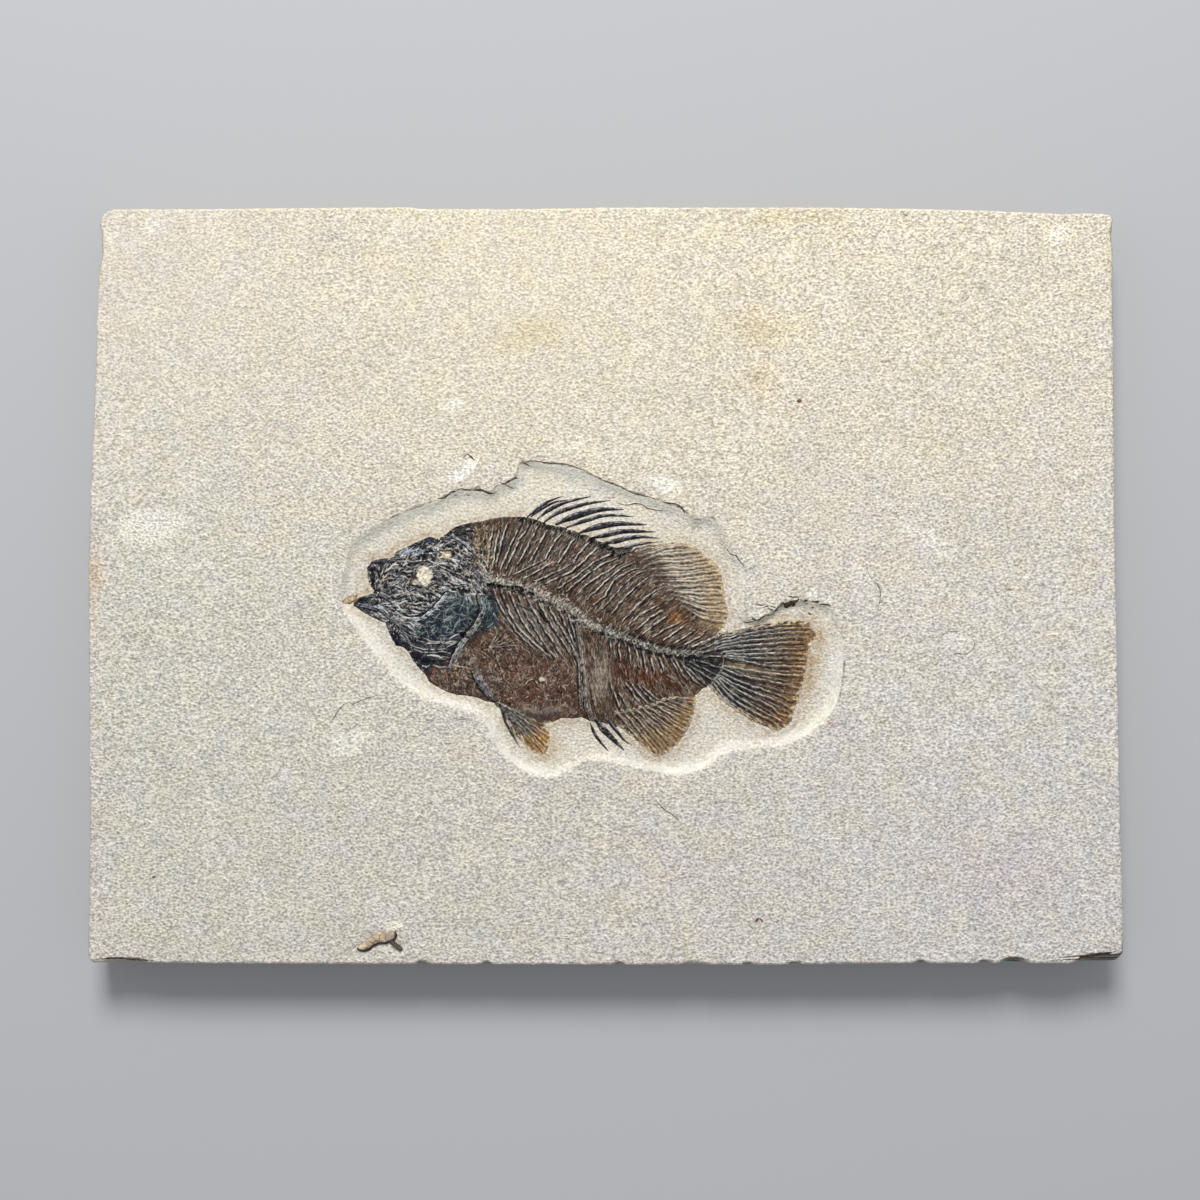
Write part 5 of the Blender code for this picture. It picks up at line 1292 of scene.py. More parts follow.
# Where the fine grain of each region fans out from: region, centre and how far the grain wanders
FLOWS = [([(-36, 0), (-12, -6), (2, -14), (2, -40), (-60, -40), (-60, -20)], (2, -51), 0.5),
         ([(2, -14), (28, -20.5), (34, -36), (2, -40)], (2, 3), 0.5),
         ([(-53, -20), (-34, -18), (-26, -20), (-8, -24), (-4, -42), (-60, -42)], (-30, -90), 2.6),
         (SOFT_DORSAL_LOOP, (-12, 5), 0.3), (TAIL_LOOP, (23, -20.5), 0.25), (ANAL_LOOP, (-3, -30), 0.3),
         (PELVIC_LOOP, (-31.5, -33), 0.3), (HEAD, (-120, 40), 2.2), (GILL_COVER, (-56, 0), 1.2)]
TRUNK_FLOW = (-57.0, -62.0)


def flow_of(skin):
    """Coordinates along and across the bone's fine grain, in millimetres."""
    flow = np.zeros((skin.x.size, 3))
    every = np.ones(skin.x.size, dtype=bool)
    wander = Noise(81)
    for number, (loop, centre, stray) in enumerate([(None, TRUNK_FLOW, 0.5)] + FLOWS):
        inside = every if loop is None else enclosed(skin.x, skin.y, np.array(loop, dtype=float))
        where = np.nonzero(inside)[0]
        x = skin.x[where] - centre[0] + stray * wander.layers(skin.x[where], skin.y[where], 3.4, 2)
        y = skin.y[where] - centre[1] + stray * wander.layers(skin.y[where], skin.x[where], 3.4, 2)
        out = np.hypot(x, y)
        flow[where] = np.stack([out, np.arctan2(y, x) * out.mean(), np.full(out.size, 7.0 * number)], axis=1)
    return flow


def grain_angle(x, y):
    """Which way the bone's grain runs at a point, in radians."""
    run = np.array(GRAIN_RUN)
    weight = 1.0 / ((run[:, 0] - x) ** 2 + (run[:, 1] - y) ** 2 + 3.0) ** 1.5
    double = np.radians(2.0 * run[:, 2])
    return 0.5 * math.atan2((weight * np.sin(double)).sum(), (weight * np.cos(double)).sum())


def strokes(skin, random, loop, count, length, half_width, tones, turn, strength=0.85, rise=0.06):
    """Short strokes along the bone's grain, scattered inside a loop. tones are colours with their shares."""
    loop = np.array(loop, dtype=float)
    low, high = loop.min(axis=0), loop.max(axis=0)
    starts = random.uniform(low, high, size=(4 * count, 2))
    starts = starts[enclosed(starts[:, 0], starts[:, 1], loop)][:count]
    shares = np.cumsum([share for _, share in tones])
    for start in starts:
        angle = grain_angle(*start) + random.normal(0.0, turn)
        bend = random.normal(0.0, 0.12)
        step = random.uniform(*length) / 4.0
        width = random.uniform(*half_width)
        pick = min(int(np.searchsorted(shares, random.random() * shares[-1])), len(tones) - 1)
        colour = tones[pick][0]
        angles = angle + bend * np.arange(4)
        steps = np.stack([np.cos(angles), np.sin(angles)], axis=1)
        line = np.vstack([start, start + step * np.cumsum(steps, axis=0)])
        proud = rise if colour.mean() > 0.1 else -rise
        skin.line(line, width, colour, strength * random.uniform(0.55, 1.0), proud, (0.3, 0.3))


def fan(root, ends, start=0.0):
    """Lines from one root, or from places along a base, to each end."""
    base = np.array(root if isinstance(root, list) else [root, root], dtype=float)
    base = spaced(base, np.linspace(0.0, 1.0, len(ends)))
    return [curve([a + (np.array(b) - a) * start, a + (np.array(b) - a) * 0.5, b], 1.0)
            for a, b in zip(base, ends)]


BREAKS = Noise(61)


def paint_rays(skin, rays, half_width, colours, gap, rise, sunk):
    """Fin rays: a dark line with a thin pale one beside it, each with its own colour at the margin."""
    dark, pale, dark_end, pale_end = colours
    for line in rays:
        pale_width = 0.30 * half_width + 0.09
        passes = ((dark, dark_end, 0.0, half_width, rise), (pale, pale_end, gap, pale_width, 0.4 * rise))
        for colour, end_colour, shift, width, proud in passes:
            where, distance, share = skin.near(line, gap + half_width + 0.2)
            local = width * (1.0 - 0.25 * share)
            inner = 1.0 - np.abs(distance - shift) / local
            hue = colour + (end_colour - colour) * smooth((share - 0.35) / 0.6)[:, None]
            rising = 1.0 - sunk + sunk * smooth(2.4 * share)
            weight = smooth(inner / 0.6) * smooth((1.0 - share) * 12.0) * rising
            broken = 0.75 + 0.9 * BREAKS.layers(skin.x[where] + 40.0 * shift, skin.y[where], 1.1, 2)
            weight = weight * np.clip(broken, 0.15, 1.0)
            skin.colour[where] += (hue - skin.colour[where]) * weight[:, None]
            skin.height[where] += proud * np.sqrt(np.clip(inner, 0.0, 1.0)) * weight


def between(lines, start=0.35):
    """Finer lines halfway between neighbours, from a share of the way out."""
    out = []
    for a, b in zip(lines, lines[1:]):
        shares = np.linspace(start, 1.0, 24)
        out.append(0.5 * (spaced(a, shares) + spaced(b, shares)))
    return out


def paint_backbone(skin):
    """A row of worn grey drums with dark joints, over a broken black line."""
    line = curve(BACKBONE, 0.8)
    total = np.hypot(*np.diff(line, axis=0).T).sum()
    where, gap, share = skin.near(line, 4.0)
    x, y = skin.x[where], skin.y[where]
    way = share * total
    ends = smooth(share * 20.0) * smooth((1.0 - share) * 16.0)
    noise = BREAKS.layers(x, y, 1.1, 3)
    specks = BREAKS.layers(x + 31.0, y, 0.62, 2)
    rear = smooth((share - 0.47) / 0.10)
    sides = np.maximum(1.0 - np.abs(gap + 1.6 + 0.4 * noise) / 0.85,
                       rear * (1.0 - np.abs(gap - 1.5 - 0.4 * noise) / 0.6))
    groove = smooth(sides) * ends * np.clip(0.7 + 0.4 * rear + 0.9 * noise, 0.0, 1.0)
    skin.paint(where, INK, 0.95 * groove)
    band = smooth((1.0 - np.abs(gap) / 2.1) / 0.4) * ends
    skin.paint(where, INK, 0.85 * rear * band * np.clip(0.8 + 0.9 * noise, 0.0, 1.0))
    skin.height[where] -= 0.18 * groove
    phase = 2.0 * np.pi * (way / DRUM_PITCH + 0.14 * np.sin(way * 0.7))
    half = 1.5 - 0.35 * rear + 0.22 * np.cos(phase) + 0.8 * noise
    worn = 1.0 - 0.35 * smooth((share - 0.17) / 0.06) * smooth((0.44 - share) / 0.06)
    inner = smooth((1.0 - np.abs(gap) / half) / 0.45) * ends * worn
    joint = smooth((-np.cos(phase) - 0.45) / 0.5)
    skin.paint(where, tone(112, 107, 99), (0.85 - 0.35 * rear) * inner)
    skin.paint(where, tone(204, 198, 184), 0.85 * inner * smooth(0.25 - 0.15 * rear + 2.4 * specks))
    skin.paint(where, tone(40, 36, 35), 0.90 * inner * smooth(-0.25 - 2.4 * specks))
    skin.paint(where, tone(48, 42, 38), 0.75 * inner * joint * smooth(0.7 + noise))
    skin.height[where] += (0.42 + 0.16 * specks) * inner * (1.0 - 0.4 * joint)
    debris = [(BONE_PALE, 0.38), (BONE_GREY, 0.24), (INK, 0.38)]
    strokes(skin, np.random.default_rng(74), DEBRIS_LOOP, 420, (0.4, 1.6), (0.13, 0.26), debris, 0.9, 0.85,
            0.09)
    for start, end, width in SLOTS:
        skin.line(np.array([start, end]), width, tone(8, 7, 9), 1.0, -0.3, (0.7, 0.5), soft=0.3)
    # The short stubs that leave each drum
    for number in range(int(total / DRUM_PITCH)):
        start = spaced(line, np.array([(number + 0.5) * DRUM_PITCH / total]))[0]
        for side, long in ((1.0, 2.6), (-1.0, 3.0)):
            lean = math.radians(62.0 if side > 0.0 else -58.0)
            end = start + long * np.array([math.cos(lean - 0.3), math.sin(lean - 0.3)])
            skin.line(np.array([start, 0.5 * (start + end), end]), 0.24, BONE_GREY, 0.8, 0.16, (1.0, 0.3),
                      broken=0.6)


def paint_head(skin, random, flow):
    """The head: blue-black bone under a tangle of fine pale edges, with the gill cover smoother."""
    where, weight = skin.area(HEAD, BLUE_BLACK, 0.94, 2.4, 1.6)
    skin.finish[where, 1] += 0.22 * weight
    for middle, long, wide, turn, colour, strength, soft, wander in HEAD_PATCHES:
        skin.patch(middle, long, wide, turn, tone(*colour), strength, soft, wander)
    where, weight = skin.area(GILL_COVER, TEAL, 0.94, 2.0, 1.1, rise=0.24)
    skin.finish[where, 1] = np.maximum(skin.finish[where, 1], 0.62 * weight)
    open_bone = np.ones(skin.x.size)
    open_bone[where] = 1.0 - 0.9 * weight
    throat_loop = [(-62.0, -12.0), (-55.0, -15.0), (-46.0, -15.0), (-42.0, -17.0), (-46.0, -23.0),
                   (-52.0, -24.0), (-58.0, -19.0)]
    open_bone[enclosed(skin.x, skin.y, np.array(throat_loop))] *= 0.45
    where = skin.window((-78.0, -31.0), (-31.0, 20.0))
    x, y = skin.x[where], skin.y[where]
    inside = smooth(depth_inside(x, y, np.array(HEAD), 2.0) / 1.5) * open_bone[where]
    hollow = smooth((BREAKS.layers(flow[where, 0] / 1.6, flow[where, 1] / 1.1, 1.2, 3) - 0.03) / 0.16)
    skin.paint(where, tone(7, 7, 11), 0.94 * inside * hollow)
    skin.height[where] -= 0.12 * inside * hollow
    glints = smooth((-0.24 - BREAKS.layers(x + 70.0, y, 1.1, 3)) / 0.16)
    skin.paint(where, tone(212, 213, 210), 0.70 * inside * glints * (1.0 - hollow))
    tangle = [(BONE_GREY, 0.16), (tone(224, 224, 220), 0.22), (tone(80, 88, 106), 0.14), (INK, 0.48)]
    face_loop = [(-71.0, -2.0), (-71.0, 7.0), (-66.0, 8.6), (-61.0, 9.6), (-48.0, 14.0), (-39.0, 13.0),
                 (-35.5, 3.0), (-37.0, -3.0), (-47.0, -1.6), (-52.0, -8.0), (-60.0, -9.0), (-66.0, -6.0)]
    strokes(skin, random, face_loop, 900, (1.6, 5.0), (0.18, 0.34), tangle, 0.40, 0.98, 0.10)
    strokes(skin, random, face_loop, 520, (0.5, 1.6), (0.14, 0.26), [(BONE_PALE, 0.45), (INK, 0.55)], 0.9,
            0.9, 0.09)
    nape_loop = [(-40.0, 6.0), (-39.6, 17.0), (-35.0, 18.0), (-34.0, 6.0)]
    strokes(skin, random, nape_loop, 220, (0.5, 2.2), (0.13, 0.28),
            [(tone(190, 174, 142), 0.26), (tone(112, 90, 70), 0.28), (INK, 0.46)], 0.6, 0.9)
    jaw_loop = [(-74.5, -5.0), (-70.0, -3.0), (-62.0, -7.0), (-56.0, -10.0), (-60.0, -17.0), (-66.0, -11.0)]
    strokes(skin, random, jaw_loop, 260, (1.2, 4.2), (0.16, 0.32), tangle, 0.35, 0.95, 0.10)
    strokes(skin, random, throat_loop, 64, (2.0, 6.0), (0.16, 0.26), tangle, 0.2, 0.95, 0.10)
    skin.patch((-61.0, 2.0), 3.0, 2.0, 0.0, tone(58, 56, 72), 0.35)
    veins = [(tone(76, 92, 98), 0.38), (tone(16, 23, 28), 0.48), (tone(164, 172, 172), 0.14)]
    strokes(skin, random, GILL_COVER, 300, (0.8, 4.0), (0.12, 0.26), veins, 0.6, 0.65, 0.04)
    strokes(skin, random, GILL_COVER, 34, (1.5, 4.5), (0.13, 0.18), [(tone(148, 158, 158), 1.0)], 1.4, 0.85,
            0.05)
    behind = [(-37.0, -3.0), (-33.4, -2.0), (-31.8, -6.0), (-32.2, -12.0), (-36.0, -13.0), (-36.4, -8.0)]
    skin.area(behind, TEAL, 0.85, 1.6, 0.9)
    strokes(skin, random, behind, 110, (0.8, 3.0), (0.12, 0.24), veins, 0.4, 0.7, 0.04)
    for middle, long, wide, turn in INKY:
        skin.patch(middle, long, wide, turn, INK, 0.92, 0.5, 0.45, -0.08)
    # Painted highlight: a bluish sheen on the forehead, in patches and short streaks
    skin.patch((-59.6, 10.6), 2.2, 0.8, 30.0, tone(132, 148, 170), 0.80, 0.6, 0.5)
    skin.patch((-55.0, 10.0), 3.0, 0.5, 20.0, tone(120, 138, 160), 0.7, 0.6, 0.5)
    skin.line(np.array([(-59.8, 9.4), (-57.6, 10.4), (-55.2, 11.0)]), 0.40, tone(164, 176, 194), 0.9, 0.1,
              broken=0.6)
    skin.line(np.array([(-57.6, 8.6), (-55.6, 9.6), (-53.4, 10.0)]), 0.34, tone(146, 158, 178), 0.9, 0.1,
              broken=0.6)
    skin.patch((-66.6, -6.0), 1.5, 0.5, -20.0, tone(206, 216, 228), 0.8, 0.6, 0.5)
    orbit = [(EYE[0] + 3.1 * math.cos(turn), EYE[1] + 3.5 * math.sin(turn))
             for turn in np.linspace(0.4, 5.6, 16)]
    skin.line(curve(orbit, 0.6), 0.42, tone(150, 146, 140), 0.75, 0.25, broken=0.8)
    skin.line(curve(orbit, 0.6), 0.34, INK, 0.8, -0.05, shift=0.7, broken=0.6)


def paint_eye(skin):
    """The eye: a hollow where pale stone shows, flecked with brown."""
    for middle, long, wide, turn, colour, strength, soft, wander, rise in EYE_PATCHES:
        skin.patch(middle, long, wide, turn, tone(*colour), strength, soft, wander, rise)
    where = skin.window((-57.0, 0.0), (-44.0, 11.0))
    x, y = skin.x[where], skin.y[where]
    pale = smooth((skin.colour[where].mean(axis=1) - 0.3) / 0.3)
    flecks = BREAKS.layers(x + 12.0, y, 0.8, 3)
    skin.paint(where, tone(150, 128, 98), 0.65 * pale * smooth((flecks - 0.12) / 0.25))
    skin.paint(where, tone(252, 248, 236), 0.8 * pale * smooth((-0.12 - flecks) / 0.2))


def paint_body(skin, random, flow):
    """The body: brown scales and flesh, with bones over them."""
    for middle, long, wide, turn, colour, strength in BODY_ZONES:
        skin.patch(middle, long, wide, turn, colour, strength, 1.0, 0.35)
    skin.colour *= np.exp(0.38 * BREAKS.layers(skin.x, skin.y, 3.6, 4))[:, None]
    rust = smooth(BREAKS.layers(skin.x + 90.0, skin.y, 6.0, 3) * 2.2 - 0.3)
    skin.paint(EVERY, RUST, 0.35 * rust)
    gaps = BREAKS.layers(flow[:, 0] / 2.6, flow[:, 1] / 0.8, 1.0, 3)
    skin.paint(EVERY, INK, 0.75 * smooth((gaps - 0.22) / 0.22))
    skin.paint(EVERY, tone(158, 146, 128), 0.50 * smooth((-0.30 - gaps) / 0.2))
    trunk_loop = [(-37.0, 19.0), (-22.0, 20.0), (0.0, 12.0), (14.0, 3.0), (28.0, -10.0), (34.0, -14.0),
                  (30.0, -19.0), (10.0, -16.0), (-12.0, -5.0), (-35.0, 3.0)]
    under_loop = [(-34.0, 0.0), (-12.0, -7.0), (10.0, -18.0), (28.0, -22.0), (26.0, -30.0), (12.0, -35.0),
                  (-4.0, -38.0), (-10.0, -24.0), (-26.0, -20.0), (-34.0, -14.0)]
    belly_loop = [(-46.0, -21.0), (-36.0, -16.0), (-26.0, -20.0), (-10.0, -22.0), (-8.0, -38.0),
                  (-32.0, -34.0), (-49.0, -30.0), (-53.0, -26.0)]
    skin.finish[:, 1] = 0.28
    muscle = [(tone(172, 162, 144), 0.24), (tone(116, 88, 66), 0.22), (UMBER, 0.24), (INK, 0.30)]
    strokes(skin, random, trunk_loop, 2000, (0.8, 3.4), (0.12, 0.22), muscle, 0.16, 0.60)
    strokes(skin, random, under_loop, 1700, (0.8, 3.4), (0.12, 0.22), muscle, 0.16, 0.60)
    scale_tones = [(tone(134, 104, 88), 0.26), (tone(176, 164, 150), 0.18), (tone(52, 34, 30), 0.3),
                   (INK, 0.26)]
    strokes(skin, random, belly_loop, 1800, (0.4, 1.5), (0.12, 0.25), scale_tones, 0.9, 0.65)
    for half_width, rise, strength, routes in THIN_BONES:
        lines = [curve(route, 0.8) for route in routes]
        for line in between(lines, 0.1):
            skin.line(line, 0.17, BONE_GREY, 0.6, 0.06, (0.3, 0.3), broken=1.0)
        for line in lines:
            # Painted shadow: a dark line along one side of the bone
            skin.line(line, 0.42, INK, 0.95, -0.08, (0.5, 0.4), shift=-0.50)
            skin.line(line, 0.95 * half_width, tone(230, 225, 212), strength, rise, (0.6, 0.3), broken=0.7)
    for half_width, rise, colour, route in STRONG_BONES[:3]:
        draw_strong(skin, half_width, rise, colour, route)
    skin.patch((-18.8, -27.5), 1.0, 0.8, 0.0, tone(216, 206, 186), 0.95, 0.4)
    golden_loop = [(-47.0, -22.5), (-40.0, -21.0), (-38.0, -26.0), (-45.0, -27.5)]
    strokes(skin, random, golden_loop, 60, (0.5, 1.6), (0.14, 0.26),
            [(tone(178, 154, 110), 0.5), (INK, 0.5)], 0.6, 0.8)
    skin.patch((-18.8, -28.5), 0.9, 0.4, 0.0, INK, 0.9, 0.5)


def draw_strong(skin, half_width, rise, colour, route):
    """A strong bone: a low rounded ridge of uneven strands, with a dark line of painted shadow along one
    side.
    """
    line = curve(route, 0.8)
    base = tone(*colour)
    # Painted shadow along one side
    skin.line(line, half_width * 0.6, INK, 0.9, -0.08, (0.5, 0.4), shift=-1.15 * half_width)
    skin.line(line, half_width, 0.42 * base, 0.75, 0.7 * rise, (0.5, 0.3), broken=0.9)
    strands = max(1, round(half_width / 0.25))
    for number in range(strands):
        shift = half_width * (2.0 * (number + 0.5) / strands - 1.0) * 0.85
        skin.line(line + 0.12 * math.sin(2.1 * number), 0.16, 1.45 * base, 1.0, 0.12, (0.5, 0.4),
                  shift=shift, broken=0.9)


# Stained stone of each fin: loop, colour, strength, softness, wander
SOFT_DORSAL_STAINS = [
    ([(13, 11.5), (14, 17), (27, 17.5), (38, 9.5), (41, -8.6), (39, -15), (36, -12.5), (29, -7.5), (23.5, -3),
      (19, 2.5), (17, 7.5)], (158, 146, 126), 0.90, 4.4, 2.6),
    ([(27, 12), (34, 12.4), (40, 4), (40.6, -8.6), (38, -15.6), (28, -11.4), (29, -5), (31, 1)],
     (158, 136, 104), 0.75, 4.4, 1.8),
]
ANAL_STAINS = [
    (ANAL_LOOP, (92, 77, 62), 0.88, 3.6, 1.4),
    ([(5, -46), (12, -44), (19, -40), (24, -33), (30.5, -31.5), (30.5, -38), (24, -50.5), (15.5, -55)],
     (148, 124, 94), 0.75, 3.4, 1.6),
]
PELVIC_STAINS = [
    (PELVIC_LOOP, (70, 62, 56), 0.88, 2.4, 1.0),
    ([(-24.6, -45.4), (-15, -40.6), (-12, -46), (-18.6, -54), (-26.6, -50.4)],
     (158, 122, 78), 0.85, 3.6, 1.8),
]
TAIL_STAINS = [
    (TAIL_LOOP, (50, 45, 42), 0.94, 1.4, 0.6),
    ([(45, -6), (67, -9), (65, -27), (59, -44), (51, -47), (40, -40), (45, -31), (44, -20)],
     (84, 66, 54), 0.70, 5.0, 2.4),
    ([(56, -6), (67, -14), (65, -27), (59, -44), (51, -47), (50, -40), (54, -31), (55.4, -20)],
     (128, 100, 72), 0.80, 4.6, 1.8),
    ([(36, -22.4), (44, -23.6), (52, -25.4), (50, -27.6), (42, -25.6), (36, -24.2)],
     (138, 118, 94), 0.65, 1.4, 0.9),
]
TAIL_ROOT_STAINS = [
    ([(22, -20.6), (29, -18.6), (34.6, -20.4), (34.6, -25), (31, -29.4), (25, -24.6)],
     (34, 34, 38), 0.9, 1.6, 0.6),
]

# Rays of each fin, the finer ones between the traced ones first: how far out the finer ones start (None for
# the traced ones), half width, dark and pale colour at the root, dark and pale colour at the margin, how far
# the pale line is from the dark one, rise, and how far the rays fade out at their roots
SOFT_DORSAL_PASSES = [
    (0.15, 0.28, [(84, 68, 54), (228, 222, 206), (114, 88, 60), (210, 190, 156)], 0.46, 0.08, 0.8),
    (None, 0.46, [(34, 28, 28), (238, 234, 220), (88, 62, 44), (216, 200, 168)], 0.64, 0.20, 0.75),
]
ANAL_PASSES = [
    (0.2, 0.28, [(52, 42, 36), (190, 172, 144), (92, 66, 42), (186, 152, 104)], 0.46, 0.08, 0.0),
    (None, 0.46, [(30, 27, 28), (198, 188, 170), (84, 58, 36), (180, 148, 100)], 0.62, 0.20, 0.0),
]
PELVIC_PASSES = [
    (0.2, 0.24, [(38, 36, 38), (158, 152, 140), (104, 74, 42), (204, 172, 122)], 0.42, 0.08, 0.0),
    (None, 0.34, [(28, 28, 33), (178, 176, 168), (92, 64, 38), (210, 180, 130)], 0.5, 0.20, 0.0),
]
PECTORAL_PASSES = [
    (None, 0.22, [(12, 12, 17), (172, 164, 148), (44, 36, 30), (160, 148, 130)], 0.46, 0.20, 0.0),
]
TAIL_PASSES = [
    (0.50, 0.28, [(30, 28, 30), (150, 142, 130), (66, 46, 32), (176, 142, 98)], 0.44, 0.10, 0.0),
    (None, 0.56, [(15, 15, 20), (186, 185, 180), (50, 34, 24), (204, 174, 130)], 0.68, 0.20, 0.0),
]


def paint_stains(skin, stains):
    """Colour the insides of some loops, one over the other."""
    for loop, colour, strength, soft, wander in stains:
        skin.area(loop, tone(*colour), strength, soft, wander)


def paint_passes(skin, lines, passes):
    """Draw a fin's rays along its lines, and the finer rays between them."""
    for start, half_width, colours, gap, rise, sunk in passes:
        rays = lines if start is None else between(lines, start)
        paint_rays(skin, rays, half_width, [tone(*colour) for colour in colours], gap, rise, sunk)


def paint_fins(skin):
    """The fins: stained stone, with dark rays and pale gaps."""
    paint_stains(skin, SOFT_DORSAL_STAINS)
    skin.patch((15.5, 4.0), 12.0, 4.2, -46.0, tone(72, 58, 50), 0.6)
    paint_passes(skin, [curve(line, 0.9) for line in SOFT_DORSAL_RAYS], SOFT_DORSAL_PASSES)
    paint_stains(skin, ANAL_STAINS)
    paint_passes(skin, fan(ANAL_BASE, ANAL_ENDS), ANAL_PASSES)
    skin.line(curve(ANAL_BASE, 0.8), 0.45, tone(158, 148, 132), 0.7, 0.2, broken=0.8)
    paint_stains(skin, PELVIC_STAINS)
    paint_passes(skin, fan(PELVIC_ROOT, PELVIC_ENDS), PELVIC_PASSES)
    paint_passes(skin, fan(PECTORAL_ROOT, PECTORAL_ENDS, 0.1), PECTORAL_PASSES)
    paint_stains(skin, TAIL_STAINS)
    paint_passes(skin, [curve(line, 0.9) for line in TAIL_RAYS], TAIL_PASSES)
    paint_tail_root(skin)


def paint_tail_root(skin):
    """The fan of bones that the tail's rays stand on, with painted shadow along one side of each."""
    roots = [(27.5, -17.6), (28.0, -18.6), (28.0, -19.6), (28.6, -20.6), (26.0, -21.6), (25.0, -22.4),
             (24.2, -23.0), (23.4, -23.6)]
    tips = [(34.0, -14.4), (34.0, -16.4), (34.2, -18.4), (35.4, -20.6), (34.8, -24.4), (33.8, -26.6),
            (32.6, -28.4), (30.6, -29.8)]
    paint_stains(skin, TAIL_ROOT_STAINS)
    for root, tip in zip(roots, tips):
        line = curve([root, 0.5 * (np.array(root) + np.array(tip)), tip], 0.8)
        # Painted shadow: a dark line along one side of each bone
        skin.line(line, 0.30, INK, 0.9, -0.05, (0.5, 0.5), shift=-0.5)
        skin.line(line, 0.24, tone(180, 178, 170), 0.85, 0.2, (0.4, 0.6), broken=0.6)
    suture = curve([(31.0, -29.5), (32.5, -27.5), (34.3, -25.0), (34.8, -22.5), (35.2, -20.8)], 0.8)
    skin.line(suture, 0.27, tone(176, 168, 150), 0.75, 0.1, broken=0.9)


def paint_spines(skin):
    """Free spines: blue-black, widest a third of the way up, with painted highlights along their upper edges.
    """
    for half_width, route in FREE_SPINES:
        line = curve(route, 0.8)
        where, gap, share = skin.near(line, half_width + 0.5)
        width = spine_width(half_width, share)
        inner = 1.0 - np.abs(gap) / width
        skin.paint(where, tone(25, 26, 32), 0.97 * smooth(inner / 0.35))
        uneven = BREAKS.layers(skin.x[where], skin.y[where], 2.2, 2)
        # Painted highlight along each spine's upper edge
        edge = smooth(1.0 - np.abs(gap - 0.62 * width) / (0.20 * width + 0.10))
        skin.paint(where, tone(176, 180, 188), 0.80 * edge * smooth(0.55 + 1.6 * uneven))
        vein = smooth(1.0 - np.abs(gap + 0.25 * width) / 0.16)
        skin.paint(where, tone(110, 114, 124), 0.70 * vein * smooth(0.2 + 1.8 * uneven))
        skin.height[where] += 0.32 * np.sqrt(np.clip(inner, 0.0, 1.0))


SPINE_BASE = [(-25, 19.9), (-20, 18.8), (-17, 17.6), (-12, 16.6), (-9, 15.6), (-5, 14.2), (-2, 12.6),
              (1.5, 11), (5, 9.2)]


def paint_dashes(skin):
    """Black dashes where the spines leave the back."""
    line = curve(SPINE_BASE, 0.8)
    where, gap, share = skin.near(line, 1.6)
    uneven = BREAKS.layers(skin.x[where], skin.y[where], 1.5, 2)
    dash = smooth(1.30 + 1.0 * np.sin(share * 58.0) + 0.9 * uneven)
    skin.paint(where, tone(6, 6, 8), smooth(2.4 - np.abs(gap) * 1.7) * dash)
    skin.height[where] -= 0.12 * smooth(1.5 - np.abs(gap)) * dash


def spine_width(half_width, share):
    """Half width of a free spine at a share of its length."""
    return 1.15 * half_width * (0.40 + 0.60 * smooth(share / 0.30)) * (1.0 - 0.85 * share ** 2.2)


JAW_TIP = [(-78.2, -4.6), (-76.8, -3.3), (-75, -2.6), (-73.4, -2.6), (-73.6, -4), (-75.2, -5.2),
           (-76.8, -5.5)]


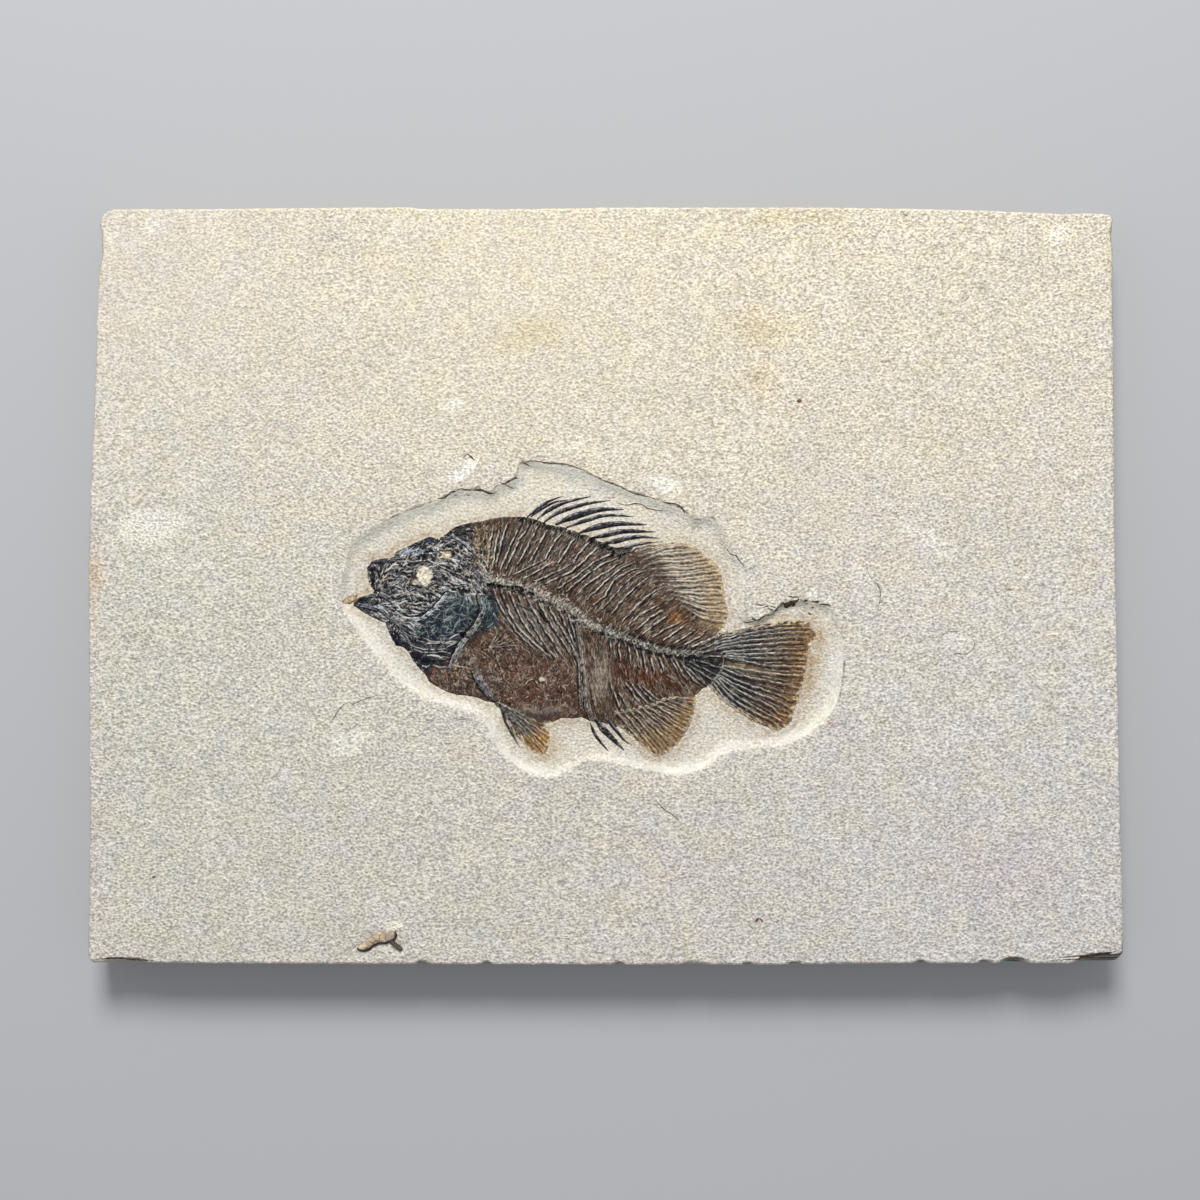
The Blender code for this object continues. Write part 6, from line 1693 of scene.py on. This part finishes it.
def build_fish(material):
    """The fish: one low sheet of bone, with every ridge, ray and spine raised on it."""
    columns = np.arange(-80.0, 65.0, FISH_SPACING)
    rows = np.arange(-53.0, 28.5, FISH_SPACING)
    x, y = (axis.ravel() for axis in np.meshgrid(columns, rows))
    body = depth_inside(x, y, np.array(SILHOUETTE), CROWN_REACH)
    fringe = Noise(71)
    skin = Skin(x, y, np.zeros(x.size), BROWN, (columns, rows))
    flow = flow_of(skin)

    # The fins fray where their rays run out into the stone
    fin = np.zeros(x.size)
    for loop in (SOFT_DORSAL_LOOP, TAIL_LOOP, ANAL_LOOP, PELVIC_LOOP):
        fin[enclosed(x, y, np.array(loop))] = 1.0
    fibres = fringe.layers(flow[:, 0] / 3.0, flow[:, 1] / 0.75, 1.0, 3)
    ragged = fringe.layers(x, y, 1.1, 3)
    wander = 0.16 * ragged + fin * (0.55 * fibres + 0.35 * ragged - 0.25)
    cover = body + wander
    for half_width, route in FREE_SPINES:
        where, gap, share = skin.near(curve(route, 0.8), half_width + 1.0)
        spine = spine_width(half_width, share) - np.abs(gap) + 0.04 * ragged[where]
        cover[where] = np.maximum(cover[where], spine)
    where = skin.window((-80.0, -8.0), (-69.0, 1.5))
    tip = depth_inside(x[where], y[where], np.array(JAW_TIP), 1.2) + 0.15 * ragged[where]
    cover[where] = np.maximum(cover[where], tip)

    skin.warp(72, 2.4, 0.34)
    random = np.random.default_rng(73)
    paint_body(skin, random, flow)
    paint_fins(skin)
    paint_head(skin, random, flow)
    for half_width, rise, colour, route in STRONG_BONES[3:]:
        draw_strong(skin, half_width, rise, colour, route)
    paint_backbone(skin)
    broken_up = fin * smooth((0.50 - body / 2.4 + 0.75 * fibres + 0.55 * ragged) / 0.35)
    skin.paint(EVERY, tone(200, 184, 154), 0.80 * broken_up)
    skin.height *= 1.0 - 0.6 * broken_up
    paint_dashes(skin)
    paint_spines(skin)
    paint_eye(skin)
    uneven = smooth(0.2 + 1.4 * fringe.layers(x + 50.0, y, 4.0, 2))
    outline_dark = smooth(1.0 - np.abs(body - 0.35) / 0.5) * uneven
    skin.paint(EVERY, UMBER, 0.6 * outline_dark * (1.0 - fin))
    skin.paint(where, tone(138, 108, 78), 0.8 * smooth((tip + 0.4) / 0.3))
    skin.paint(where, tone(198, 178, 148), 0.75 * smooth((tip - 0.25 + 0.3 * ragged[where]) / 0.25))

    micro = 0.035 * fringe.layers(x, y, 0.9, 2)
    crown = CROWN * np.sin(0.5 * np.pi * np.clip(body / CROWN_REACH, 0.0, 1.0))
    proud = FILM + crown + np.maximum(skin.height, -0.45) + micro
    ground = face_height(x, y)[0]
    edge = smooth(cover / 0.32)
    skin.height = ground + np.where(cover > 0.0, proud * edge, -SINK * smooth(-cover / 0.4))
    luma = skin.colour.mean(axis=1)
    skin.finish[:, 0] = smooth((luma - 0.08) / 0.30)
    skin.finish[:, 1] = np.maximum(skin.finish[:, 1], smooth((luma - 0.28) / 0.25))
    attributes = {"tint": skin.colour, "finish": skin.finish, "flow": flow}
    cells = kept_cells(cover > -FISH_MARGIN, len(columns))
    pieces = []
    for name, start, end in FISH_PARTS:
        part = cells & (columns[:-1] >= start - 1e-6) & (columns[:-1] < end - 1e-6)
        pieces.append(relief(name, part, skin, FISH_BASE, material, attributes))
    return pieces


FLOOR_COLOUR = (0.50, 0.51, 0.53)
FLOOR_HALF = 3.0          # half the floor's side, in metres
KEY_RISE = 47.0           # degrees above the slab's face
KEY_DISTANCE = 1.5        # in metres
KEY_SIZE = 0.55
KEY_POWER = 20.0
SKY = (0.38, 0.39, 0.41)


def add_floor():
    """A plain pale floor under the slab."""
    mesh = bpy.data.meshes.new("floor")
    corners = [(-1, -1), (1, -1), (1, 1), (-1, 1)]
    mesh.from_pydata([(FLOOR_HALF * x, FLOOR_HALF * y, 0.0) for x, y in corners], [], [(0, 1, 2, 3)])
    floor = bpy.data.objects.new("floor", mesh)
    floor.location.z = -0.02 * MM
    bpy.context.scene.collection.objects.link(floor)
    material = bpy.data.materials.new("floor_paint")
    material.use_nodes = True
    surface = material.node_tree.nodes["Principled BSDF"]
    surface.inputs["Base Color"].default_value = (*FLOOR_COLOUR, 1.0)
    surface.inputs["Roughness"].default_value = 0.85
    surface.inputs["Specular IOR Level"].default_value = 0.2
    mesh.materials.append(material)


def add_lights():
    """A soft key light from above the fish's back, and an even sky."""
    angle = math.radians(KEY_RISE)
    light = bpy.data.lights.new("key", "AREA")
    light.shape = "DISK"
    light.size = KEY_SIZE
    light.energy = KEY_POWER
    light.color = (1.0, 0.985, 0.96)
    key = bpy.data.objects.new("key", light)
    key.location = (-0.10, KEY_DISTANCE * math.cos(angle), KEY_DISTANCE * math.sin(angle))
    key.rotation_euler = (-Vector(key.location)).to_track_quat("-Z", "Y").to_euler()
    bpy.context.scene.collection.objects.link(key)
    world = bpy.data.worlds.new("sky")
    world.use_nodes = True
    world.node_tree.nodes["Background"].inputs["Color"].default_value = (*SKY, 1.0)
    bpy.context.scene.world = world


def add_camera():
    """A camera straight above the slab, with the fish's back at the top of the picture."""
    data = bpy.data.cameras.new("camera")
    data.lens, data.sensor_width = LENS, SENSOR
    camera = bpy.data.objects.new("camera", data)
    camera.location = (CAMERA_SPOT[0] * MM, CAMERA_SPOT[1] * MM, (THICKNESS + CAMERA_RISE) * MM)
    bpy.context.scene.collection.objects.link(camera)
    bpy.context.scene.camera = camera


def main():
    """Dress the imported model."""
    bpy.context.scene.view_settings.view_transform = "Standard"
    stone, bone = limestone_material(), bone_material()
    slab = build_slab(stone)
    fish = build_fish(bone)
    lump = build_coprolite(bone)
    cracks_and_shadows = build_cracks_and_shadows(crack_and_shadow_material())
    dressed = [(slab, "limestone_slab", "limestone"), (lump, "coprolite", "coprolite"),
               (cracks_and_shadows, None, "limestone")]
    dressed += [(piece, "fossil_fish", "fossil_bone") for piece in fish]
    for piece, node, slot in dressed:
        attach(piece, "root")
        if node:
            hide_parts(node)
    add_floor()
    add_lights()
    add_camera()


main()
